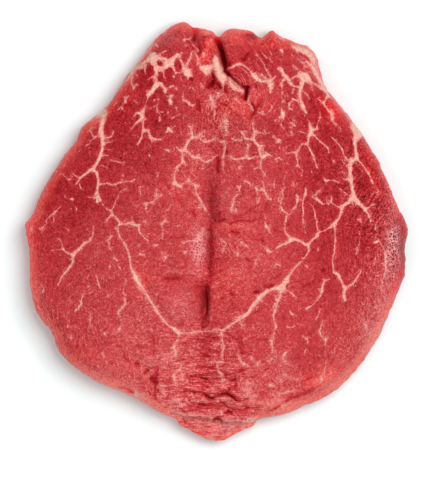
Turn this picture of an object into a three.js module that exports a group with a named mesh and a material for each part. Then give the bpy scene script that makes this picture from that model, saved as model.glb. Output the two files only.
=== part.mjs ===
// A raw butterflied filet mignon: a thick piece of beef tenderloin cut almost through along its length and
// opened flat like a book. It is one piece of meat, so it is one closed solid.
//
// Millimetres, +Z up. The origin is on the board under the middle of the piece, +Y points to the wide cleft
// end of the hinge, and -Y to the thin tail. The cut faces look up and the underside lies flat at z = 0.
import * as THREE from "three";

// Driving sizes.
const BODY_HEIGHT = 16.4; // top of each half above the board
const TAIL_HEIGHT = 8; // the thin tail past the torn edge at -Y
const HEAD_HEIGHT = 13.8; // the lobes on both sides of the cleft at +Y
const WAIST_HEIGHT = 5.2; // height of the widest line of the rim
const RIM_TUCK = 2.4; // how far the rim draws in from its widest line to the board
const RIM_ROUND = 6.2; // plan width of the rounded upper edge
const RIM_BEVEL = 5.2; // plan width of the sloping cut edge at the lower right
const CROWN = 0.7; // how much the middle of each half stands over its own edges
const HINGE_DEPTH = 2.3; // sag of the hinge between the two halves
const HINGE_WIDTH = 7.5; // half width of that sag

// How finely the surface is divided.
const ACROSS = 62; // cells from the left edge to the right one
const ALONG = 66; // cells from the tail to the head
const RIM_RINGS = 4; // rings from the widest line down to the board
const OUTLINE_STEPS = 70; // samples on each of the four edges, for distances to the outline

// The outline seen from above, as four edges that meet at the corners of the surface grid. Each is a smooth
// curve through the places where the edge turns.
const CORNER_TAIL_LEFT = [-46.5, -50];
const CORNER_TAIL_RIGHT = [46.8, -51.2];
const CORNER_HEAD_LEFT = [-24, 64];
const CORNER_HEAD_RIGHT = [34.2, 63.2];

const TAIL_EDGE = [
  CORNER_TAIL_LEFT, [-41, -52.9], [-31, -56.9], [-22.8, -61.5], [-14.9, -65.4], [-12.6, -67.7], [-8, -70.4],
  [-1.5, -72.9], [0.8, -73.3], [4.6, -72], [8.6, -69.8], [12.4, -68.3], [15, -65.8], [24, -63.8],
  [35.5, -59], [41.5, -55.6], CORNER_TAIL_RIGHT,
];
const HEAD_EDGE = [
  CORNER_HEAD_LEFT, [-20.2, 68.7], [-16.6, 71.5], [-12.6, 73.2], [-9.9, 73], [-8, 71.6], [-5.6, 71.4],
  [-3.6, 70.5], [-1.4, 70.1], [0.8, 68.3], [2.6, 69.9], [4.8, 70.9], [8, 70.9], [12.2, 69.9], [15.6, 68],
  [17.6, 69.1], [19.5, 70.3], [21.8, 69.1], [28, 66], [31.4, 65.2], CORNER_HEAD_RIGHT,
];
const LEFT_EDGE = [
  CORNER_TAIL_LEFT, [-52.8, -44.7], [-55.7, -40.4], [-57.4, -35.8], [-61.2, -31], [-64, -25.6], [-65.5, -15],
  [-65.6, -6.6], [-67, 1.8], [-64.3, 6], [-60.8, 14.3], [-53, 26.9], [-49.4, 31.6], [-47.4, 35.8],
  [-43.6, 39.7], [-38.9, 43.2], [-32, 53], CORNER_HEAD_LEFT,
];
const RIGHT_EDGE = [
  CORNER_TAIL_RIGHT, [53.8, -42], [60.2, -29.8], [64.4, -19.4], [66.1, -14], [66.1, -6], [66.9, 1.4],
  [64, 7.6], [59.8, 18.4], [53, 31.2], [43.8, 44], [38.2, 51], [36.4, 56], [35.7, 60], CORNER_HEAD_RIGHT,
];

// Cuts, splits and folds in the upper face: where each runs, how deep it is and its half width.
const CREASES = [
  { name: "cleft", path: [[0.6, 70], [1, 66.4], [2.2, 62], [3, 58], [4, 55.4]], depth: 8.6, width: 1.7 },
  { name: "cleft_floor", path: [[4, 55.4], [7.4, 52.2], [10.4, 50], [10.4, 46.2]], depth: 4.6, width: 1.3 },
  { name: "cleft_fork_left", path: [[10.4, 46.2], [13.4, 42.6], [11.6, 39.4]], depth: 2.4, width: 1.2 },
  { name: "cleft_fork_right", path: [[13.4, 42.6], [17, 46.4]], depth: 1.8, width: 1.1 },
  { name: "notch_pocket", path: [[-1.2, 55], [-1.6, 51.4], [1.2, 50.8]], depth: 2.8, width: 1.4 },
  { name: "head_split", path: [[-8.4, 71], [-8, 67.6], [-5.9, 63]], depth: 1.9, width: 1.2 },
  { name: "hinge_line", path: [[-3.2, 22], [-3, 8], [-2.6, -8], [-3.6, -17]], depth: 1.5, width: 1.7 },
  { name: "hinge_slit", path: [[-4, -17.6], [-3.6, -23], [-4.4, -33]], depth: 4.8, width: 1.5 },
  { name: "left_dip", path: [[-19, -15.4], [-11.5, -16.6], [-5.4, -17.8]], depth: 1.3, width: 2.6 },
  { name: "seam_left", path: [[-28.4, -12], [-23.6, -22], [-16, -32], [-9.6, -35]], depth: 1.1, width: 1.6 },
  { name: "seam_right", path: [[3, -34.6], [12, -27.8], [20, -21.6], [25.6, -16]], depth: 0.9, width: 1.6 },
  { name: "tail_fold", path: [[-9, -51], [-4.4, -51.4], [1.2, -51.8], [7, -51.4]], depth: 1.4, width: 1.3 },
  { name: "tail_tear", path: [[-7, -56.4], [-2.4, -58.2], [3.4, -56.8], [8.4, -59]], depth: 2.1, width: 1.4 },
  { name: "tail_split", path: [[-6.6, -61.4], [-1, -61], [3.8, -62.6]], depth: 1.5, width: 1.2 },
  { name: "left_cracks", path: [[-33, -42.4], [-26, -47], [-21, -52.4]], depth: 0.9, width: 1.8 },
];

// Swellings of the upper face: centre, half sizes and height.
const PADS = [
  { name: "head_lobe_left", at: [-15, 66], size: [7, 6], height: 1.4 },
  { name: "head_lobe_middle", at: [-3.6, 66], size: [2.6, 4.4], height: 1.6 },
  { name: "head_lobe_right", at: [8, 66], size: [6.4, 4.6], height: 2 },
  { name: "cap_lobe", at: [31.6, 58], size: [4, 7], height: 1.1 },
  { name: "torn_flap", at: [7.6, 55.2], size: [3.6, 2.4], height: 1.3 },
  { name: "fat_tongue", at: [0.6, 57.4], size: [1.9, 5], height: 1.5 },
  { name: "left_muscle", at: [-14, -24.5], size: [9, 6], height: 1.6 },
  { name: "right_muscle", at: [12, -12], size: [12, 12], height: 0.8 },
  { name: "tail_roll", at: [3.4, -58.4], size: [3.6, 1.4], height: 1.2 },
];

// The edge of the thin tail: the thicker meat ends along this line, and the tail flap lies lower beyond it.
const TAIL_LINE = [[-17, -62.6], [-8, -64.4], [-1.6, -66], [0.4, -64.8], [2.6, -66.2], [13, -66]];
const TAIL_LINE_BLUNTNESS = 1.3; // half width of that step

const BEVEL_CENTRE = -0.93; // direction of the middle of the sloping edge, in radians from +X
const BEVEL_SPAN = 0.42; // half of the angle that it takes up
const GRID_CENTRE = [0, -3]; // directions round the outline are taken from here

const clamp01 = (t) => Math.min(Math.max(t, 0), 1);
const mix = (a, b, t) => a + (b - a) * t;
const smooth = (low, high, t) => {
  const s = clamp01((t - low) / (high - low));
  return s * s * (3 - 2 * s);
};
const bell = (t) => Math.exp(-t * t);

function edgeCurve(points) {
  const curve = new THREE.SplineCurve(points.map(([x, y]) => new THREE.Vector2(x, y)));
  curve.arcLengthDivisions = 600;
  return curve;
}

const edges = {
  tail: edgeCurve(TAIL_EDGE),
  head: edgeCurve(HEAD_EDGE),
  left: edgeCurve(LEFT_EDGE),
  right: edgeCurve(RIGHT_EDGE),
};

// A point of the upper face in plan, from its place across (u) and along (v): the four edges blended so that
// the grid follows each of them (a Coons patch).
function plan(u, v) {
  const tail = edges.tail.getPointAt(u);
  const head = edges.head.getPointAt(u);
  const left = edges.left.getPointAt(v);
  const right = edges.right.getPointAt(v);
  const blend = (axis, k) =>
    mix(tail[axis], head[axis], v) +
    mix(left[axis], right[axis], u) -
    mix(mix(CORNER_TAIL_LEFT[k], CORNER_TAIL_RIGHT[k], u), mix(CORNER_HEAD_LEFT[k], CORNER_HEAD_RIGHT[k], u), v);
  return [blend("x", 0), blend("y", 1)];
}

// Grid places from 0 to 1 that lie closer together where density is high.
function spread(count, density) {
  const samples = 2000;
  const sums = [0];
  for (let i = 0; i < samples; i++) sums.push(sums[i] + density((i + 0.5) / samples));
  const places = [];
  for (let k = 0, i = 0; k <= count; k++) {
    const wanted = (sums[samples] * k) / count;
    while (i < samples - 1 && sums[i + 1] < wanted) i++;
    places.push((i + (wanted - sums[i]) / (sums[i + 1] - sums[i])) / samples);
  }
  return places;
}

const atEnds = (s, reach) => Math.exp(-s / reach) + Math.exp(-(1 - s) / reach);
const acrossDensity = (s) => 1 + 4 * atEnds(s, 0.024) + 1.7 * bell((s - 0.465) / 0.07);
const alongDensity = (s) => 1 + 3.6 * atEnds(s, 0.02) + 1.1 * atEnds(s, 0.12);

// How far a point is from a path, and its place along it from 0 to 1.
function nearest([x, y], path) {
  let best = Infinity;
  let at = 0;
  for (let i = 0; i + 1 < path.length; i++) {
    const [ax, ay] = path[i];
    const dx = path[i + 1][0] - ax;
    const dy = path[i + 1][1] - ay;
    const t = clamp01(((x - ax) * dx + (y - ay) * dy) / (dx * dx + dy * dy));
    const far = Math.hypot(x - ax - t * dx, y - ay - t * dy);
    if (far < best) {
      best = far;
      at = (i + t) / (path.length - 1);
    }
  }
  return { far: best, at };
}

const outline = Object.values(edges).map((curve) => curve.getSpacedPoints(OUTLINE_STEPS).map((p) => [p.x, p.y]));
const distanceInside = (point) => Math.min(...outline.map((edge) => nearest(point, edge).far));

// Share of the height over the waist at a distance inside the outline: a quarter round, or a straight slope
// with a small shoulder along the sloping edge at the lower right.
function rimShare(point, inside) {
  const direction = Math.atan2(point[1] - GRID_CENTRE[1], point[0] - GRID_CENTRE[0]);
  const bevelled = bell((direction - BEVEL_CENTRE) / BEVEL_SPAN);
  const round = Math.sqrt(1 - (1 - clamp01(inside / RIM_ROUND)) ** 2);
  const slope = smooth(-0.35, 1, inside / RIM_BEVEL);
  return mix(round, slope, 0.8 * bevelled);
}

// The y of a path that runs from left to right, straight above or below x.
function lineHeightAt(x, path) {
  const next = path.findIndex(([px], i) => i > 0 && x <= px);
  const end = next < 0 ? path.length - 1 : next;
  const [ax, ay] = path[end - 1];
  const [bx, by] = path[end];
  return mix(ay, by, clamp01((x - ax) / (bx - ax)));
}

// Height of the meat before its cuts and swellings.
function bodyHeight([x, y]) {
  const half = bell((Math.abs(x + 3) - 30) / 26) * bell((y + 8) / 52);
  const headed = mix(BODY_HEIGHT + CROWN * half, HEAD_HEIGHT, smooth(44, 68, y));
  const tailed = mix(headed, TAIL_HEIGHT + 4.2, smooth(-40, -64, y) * bell(x / 34));
  const lineY = lineHeightAt(x, TAIL_LINE);
  const beyond = Math.sign(lineY - y) * nearest([x, y], TAIL_LINE).far;
  return mix(tailed, TAIL_HEIGHT, smooth(-TAIL_LINE_BLUNTNESS, TAIL_LINE_BLUNTNESS, beyond) * bell(x / 15));
}

function hingeSag([x, y]) {
  const along = smooth(-70, -30, y) * (1 - smooth(30, 60, y));
  return HINGE_DEPTH * along * bell((x + 3) / HINGE_WIDTH);
}

function creaseDepth(point) {
  return CREASES.reduce((sum, { path, depth, width }) => {
    const { far, at } = nearest(point, path);
    const taper = 0.45 + 0.55 * Math.sin(Math.PI * clamp01(at));
    return Math.max(sum, depth * taper * bell(far / width));
  }, 0);
}

function padHeight([x, y]) {
  return PADS.reduce((sum, { at, size, height }) => {
    return sum + height * bell((x - at[0]) / size[0]) * bell((y - at[1]) / size[1]);
  }, 0);
}

function topHeight(point, inside) {
  const share = rimShare(point, inside);
  const relief = padHeight(point) - hingeSag(point) - creaseDepth(point);
  return mix(WAIST_HEIGHT, bodyHeight(point), share) + relief * share;
}

// The line on which the piece meets the board: the outline drawn in by RIM_TUCK, with its small notches eased.
function boardLine(loop) {
  const count = loop.length;
  const reach = 4; // neighbours on each side that ease a point
  return loop.map((_, i) => {
    let x = 0;
    let y = 0;
    for (let k = -reach; k <= reach; k++) {
      const [px, py] = loop[(i + k + count) % count];
      x += px / (2 * reach + 1);
      y += py / (2 * reach + 1);
    }
    const [ax, ay] = loop[(i - reach + count) % count];
    const [bx, by] = loop[(i + reach) % count];
    const long = Math.hypot(bx - ax, by - ay);
    return [x - ((by - ay) / long) * RIM_TUCK, y + ((bx - ax) / long) * RIM_TUCK];
  });
}

// The whole surface: the upper face as a grid, the rim as rings from its border down to the board, and the
// flat underside as a fan.
function filetGeometry() {
  const across = spread(ACROSS, acrossDensity);
  const along = spread(ALONG, alongDensity);
  const positions = [];
  const triangles = [];
  const addPoint = (x, y, z) => positions.push(x, y, z) / 3 - 1;
  const addQuad = (a, b, c, d) => triangles.push(a, b, c, a, c, d);

  const grid = along.map((v, row) =>
    across.map((u, column) => {
      const point = plan(u, v);
      const border = row === 0 || row === ALONG || column === 0 || column === ACROSS;
      return addPoint(...point, border ? WAIST_HEIGHT : topHeight(point, distanceInside(point)));
    }),
  );
  for (let row = 0; row < ALONG; row++)
    for (let column = 0; column < ACROSS; column++)
      addQuad(grid[row][column], grid[row][column + 1], grid[row + 1][column + 1], grid[row + 1][column]);

  // The border, counter-clockwise from above.
  const border = [
    ...grid[0].slice(0, ACROSS),
    ...grid.slice(0, ALONG).map((row) => row[ACROSS]),
    ...grid[ALONG].slice(1).reverse(),
    ...grid.slice(1).map((row) => row[0]).reverse(),
  ];
  const loop = border.map((i) => [positions[3 * i], positions[3 * i + 1]]);
  const board = boardLine(loop);
  let upper = border;
  for (let ring = 1; ring <= RIM_RINGS; ring++) {
    const turn = (ring / RIM_RINGS) * (Math.PI / 2);
    const lower = loop.map(([x, y], i) => {
      const drawn = 1 - Math.cos(turn);
      return addPoint(mix(x, board[i][0], drawn), mix(y, board[i][1], drawn), WAIST_HEIGHT * (1 - Math.sin(turn)));
    });
    border.forEach((_, i) => {
      const next = (i + 1) % border.length;
      addQuad(upper[i], lower[i], lower[next], upper[next]);
    });
    upper = lower;
  }
  const hub = addPoint(...GRID_CENTRE, 0);
  upper.forEach((point, i) => triangles.push(hub, upper[(i + 1) % upper.length], point));

  const geometry = new THREE.BufferGeometry();
  geometry.setAttribute("position", new THREE.Float32BufferAttribute(positions, 3));
  geometry.setIndex(triangles);
  geometry.computeVertexNormals();
  return geometry;
}

const rawBeef = new THREE.MeshStandardMaterial({ color: 0xc4484b, roughness: 0.42, metalness: 0 });
const filet = new THREE.Mesh(filetGeometry(), rawBeef);
filet.name = "filet";

const part = new THREE.Group();
part.add(filet);

export default part;
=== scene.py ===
"""A raw butterflied filet mignon, dressed for a still picture: one closed mesh of meat with its marbling, its
silverskin seams, its cuts and its torn tail, worked out from the same named sizes as the CAD solid.

Everything is worked out in millimetres and put into the meshes in metres. +Z is up, +Y points to the cleft.
"""

import bpy
import numpy as np
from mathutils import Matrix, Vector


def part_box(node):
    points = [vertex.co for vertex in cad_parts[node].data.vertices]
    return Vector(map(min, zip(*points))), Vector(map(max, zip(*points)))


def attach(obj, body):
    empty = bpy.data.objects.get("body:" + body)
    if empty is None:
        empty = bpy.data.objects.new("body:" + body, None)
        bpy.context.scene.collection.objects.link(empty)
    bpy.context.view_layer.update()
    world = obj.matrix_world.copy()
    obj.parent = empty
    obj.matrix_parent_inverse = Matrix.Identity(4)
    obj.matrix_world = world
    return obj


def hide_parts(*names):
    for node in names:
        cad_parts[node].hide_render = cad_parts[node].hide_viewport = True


bl_info = {
    "name": "Raw Butterflied Filet Mignon",
    "version": (1, 0, 0),
    "blender": (4, 5, 0),
    "location": "View3D > Sidebar > Filet",
    "description": "Builds the opened steak with its marbling, and the table and light it is shown on",
    "category": "Add Mesh",
}

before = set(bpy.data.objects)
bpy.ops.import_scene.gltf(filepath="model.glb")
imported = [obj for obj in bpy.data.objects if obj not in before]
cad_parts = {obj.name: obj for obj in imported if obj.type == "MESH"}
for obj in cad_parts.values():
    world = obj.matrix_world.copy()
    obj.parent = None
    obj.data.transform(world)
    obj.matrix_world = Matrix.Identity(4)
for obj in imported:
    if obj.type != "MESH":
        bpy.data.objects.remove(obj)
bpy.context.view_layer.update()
MM = 0.001

# ---------------------------------------------------------------- sizes shared with the CAD solid, millimetres
BODY_HEIGHT = 16.4
TAIL_HEIGHT = 8.0
HEAD_HEIGHT = 13.8
WAIST_HEIGHT = 5.2
RIM_TUCK = 2.4
RIM_ROUND = 6.2
RIM_BEVEL = 5.2
CROWN = 0.7
HINGE_DEPTH = 2.3
HINGE_WIDTH = 7.5

CORNER_TAIL_LEFT = (-46.5, -50)
CORNER_TAIL_RIGHT = (46.8, -51.2)
CORNER_HEAD_LEFT = (-24, 64)
CORNER_HEAD_RIGHT = (34.2, 63.2)
TAIL_EDGE = [
    CORNER_TAIL_LEFT, (-41, -52.9), (-31, -56.9), (-22.8, -61.5), (-14.9, -65.4), (-12.6, -67.7), (-8, -70.4),
    (-1.5, -72.9), (0.8, -73.3), (4.6, -72), (8.6, -69.8), (12.4, -68.3), (15, -65.8), (24, -63.8),
    (35.5, -59), (41.5, -55.6), CORNER_TAIL_RIGHT,
]
HEAD_EDGE = [
    CORNER_HEAD_LEFT, (-20.2, 68.7), (-16.6, 71.5), (-12.6, 73.2), (-9.9, 73), (-8, 71.6), (-5.6, 71.4),
    (-3.6, 70.5), (-1.4, 70.1), (0.8, 68.3), (2.6, 69.9), (4.8, 70.9), (8, 70.9), (12.2, 69.9), (15.6, 68),
    (17.6, 69.1), (19.5, 70.3), (21.8, 69.1), (28, 66), (31.4, 65.2), CORNER_HEAD_RIGHT,
]
LEFT_EDGE = [
    CORNER_TAIL_LEFT, (-52.8, -44.7), (-55.7, -40.4), (-57.4, -35.8), (-61.2, -31), (-64, -25.6), (-65.5, -15),
    (-65.6, -6.6), (-67, 1.8), (-64.3, 6), (-60.8, 14.3), (-53, 26.9), (-49.4, 31.6), (-47.4, 35.8),
    (-43.6, 39.7), (-38.9, 43.2), (-32, 53), CORNER_HEAD_LEFT,
]
RIGHT_EDGE = [
    CORNER_TAIL_RIGHT, (53.8, -42), (60.2, -29.8), (64.4, -19.4), (66.1, -14), (66.1, -6), (66.9, 1.4),
    (64, 7.6), (59.8, 18.4), (53, 31.2), (43.8, 44), (38.2, 51), (36.4, 56), (35.7, 60), CORNER_HEAD_RIGHT,
]
# The large cuts and folds: depth, half width, then the points they run through.
LARGE_CREASES = [
    (6.4, 1.2, 0.6, 70, 0.9, 66.4, 2.1, 62, 2.8, 58.6, 3.3, 56.4),
    (1.7, 0.55, 3, 56, 4, 55.2, 7.2, 52.3, 9.6, 50.4),
    (2.5, 0.6, 10.6, 50.6, 10.6, 48, 10.2, 46.2),
    (1.5, 0.9, 10.4, 46.2, 13.4, 42.6, 11.6, 39.4),
    (1.2, 0.8, 13.4, 42.6, 17, 46.4),
    (2.8, 1.4, -1.2, 55, -1.6, 51.4, 1.2, 50.8),
    (1.9, 1.2, -8.4, 71, -8, 67.6, -5.9, 63),
    (1.5, 1.7, -3.2, 22, -3, 8, -2.6, -8, -3.6, -17),
    (4.0, 1.15, -4, -17.6, -3.6, -23, -4.4, -33),
    (1.3, 2.6, -19, -15.4, -11.5, -16.6, -5.4, -17.8),
    (1.1, 1.6, -28.4, -12, -23.6, -22, -16, -32, -9.6, -35),
    (0.9, 1.6, 3, -34.6, 12, -27.8, 20, -21.6, 25.6, -16),
    (1.4, 1.3, -9, -51, -4.4, -51.4, 1.2, -51.8, 7, -51.4),
    (1.7, 0.8, -7.6, -56, -4, -57, -1.8, -58.2, 0, -57.6, 3, -56.7, 4.6, -57.1, 6.6, -58.6, 8.4, -59.2, 11, -58.5),
    (0.9, 0.8, -7.2, -60.4, -4.2, -60.6, -1, -61, 3.8, -62.6),
    (0.8, 0.6, 2.2, -59.4, 4, -60.6, 6.2, -61.6, 10, -61.8, 14.6, -61.4),
    (0.9, 1.8, -33, -42.4, -26, -47, -21, -52.4),
]
# Swellings: centre, half sizes, height.
PADS = [
    (-15, 66, 7, 6, 1.4), (-3.6, 66, 2.6, 4.4, 1.6), (8, 66, 6.4, 4.6, 2), (31.6, 58, 4, 7, 1.1),
    (7.6, 55.2, 3.6, 2.4, 1.3), (0.6, 57.4, 1.9, 5, 1.5), (-14, -24.5, 9, 6, 1.6), (12, -12, 12, 12, 0.8),
    (3.4, -58.4, 3.6, 1.4, 1.2),
]
TAIL_LINE = [
    (-17, -63.4), (-12, -64.7), (-8, -65), (-3, -65.3), (-1.6, -66.3), (0.4, -65.2), (2.6, -66.9), (8, -66.8), (13, -67.2),
]
TAIL_LINE_BLUNTNESS = 0.8
BEVEL_CENTRE = -0.93
BEVEL_SPAN = 0.42
GRID_CENTRE = (0, -3)

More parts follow.
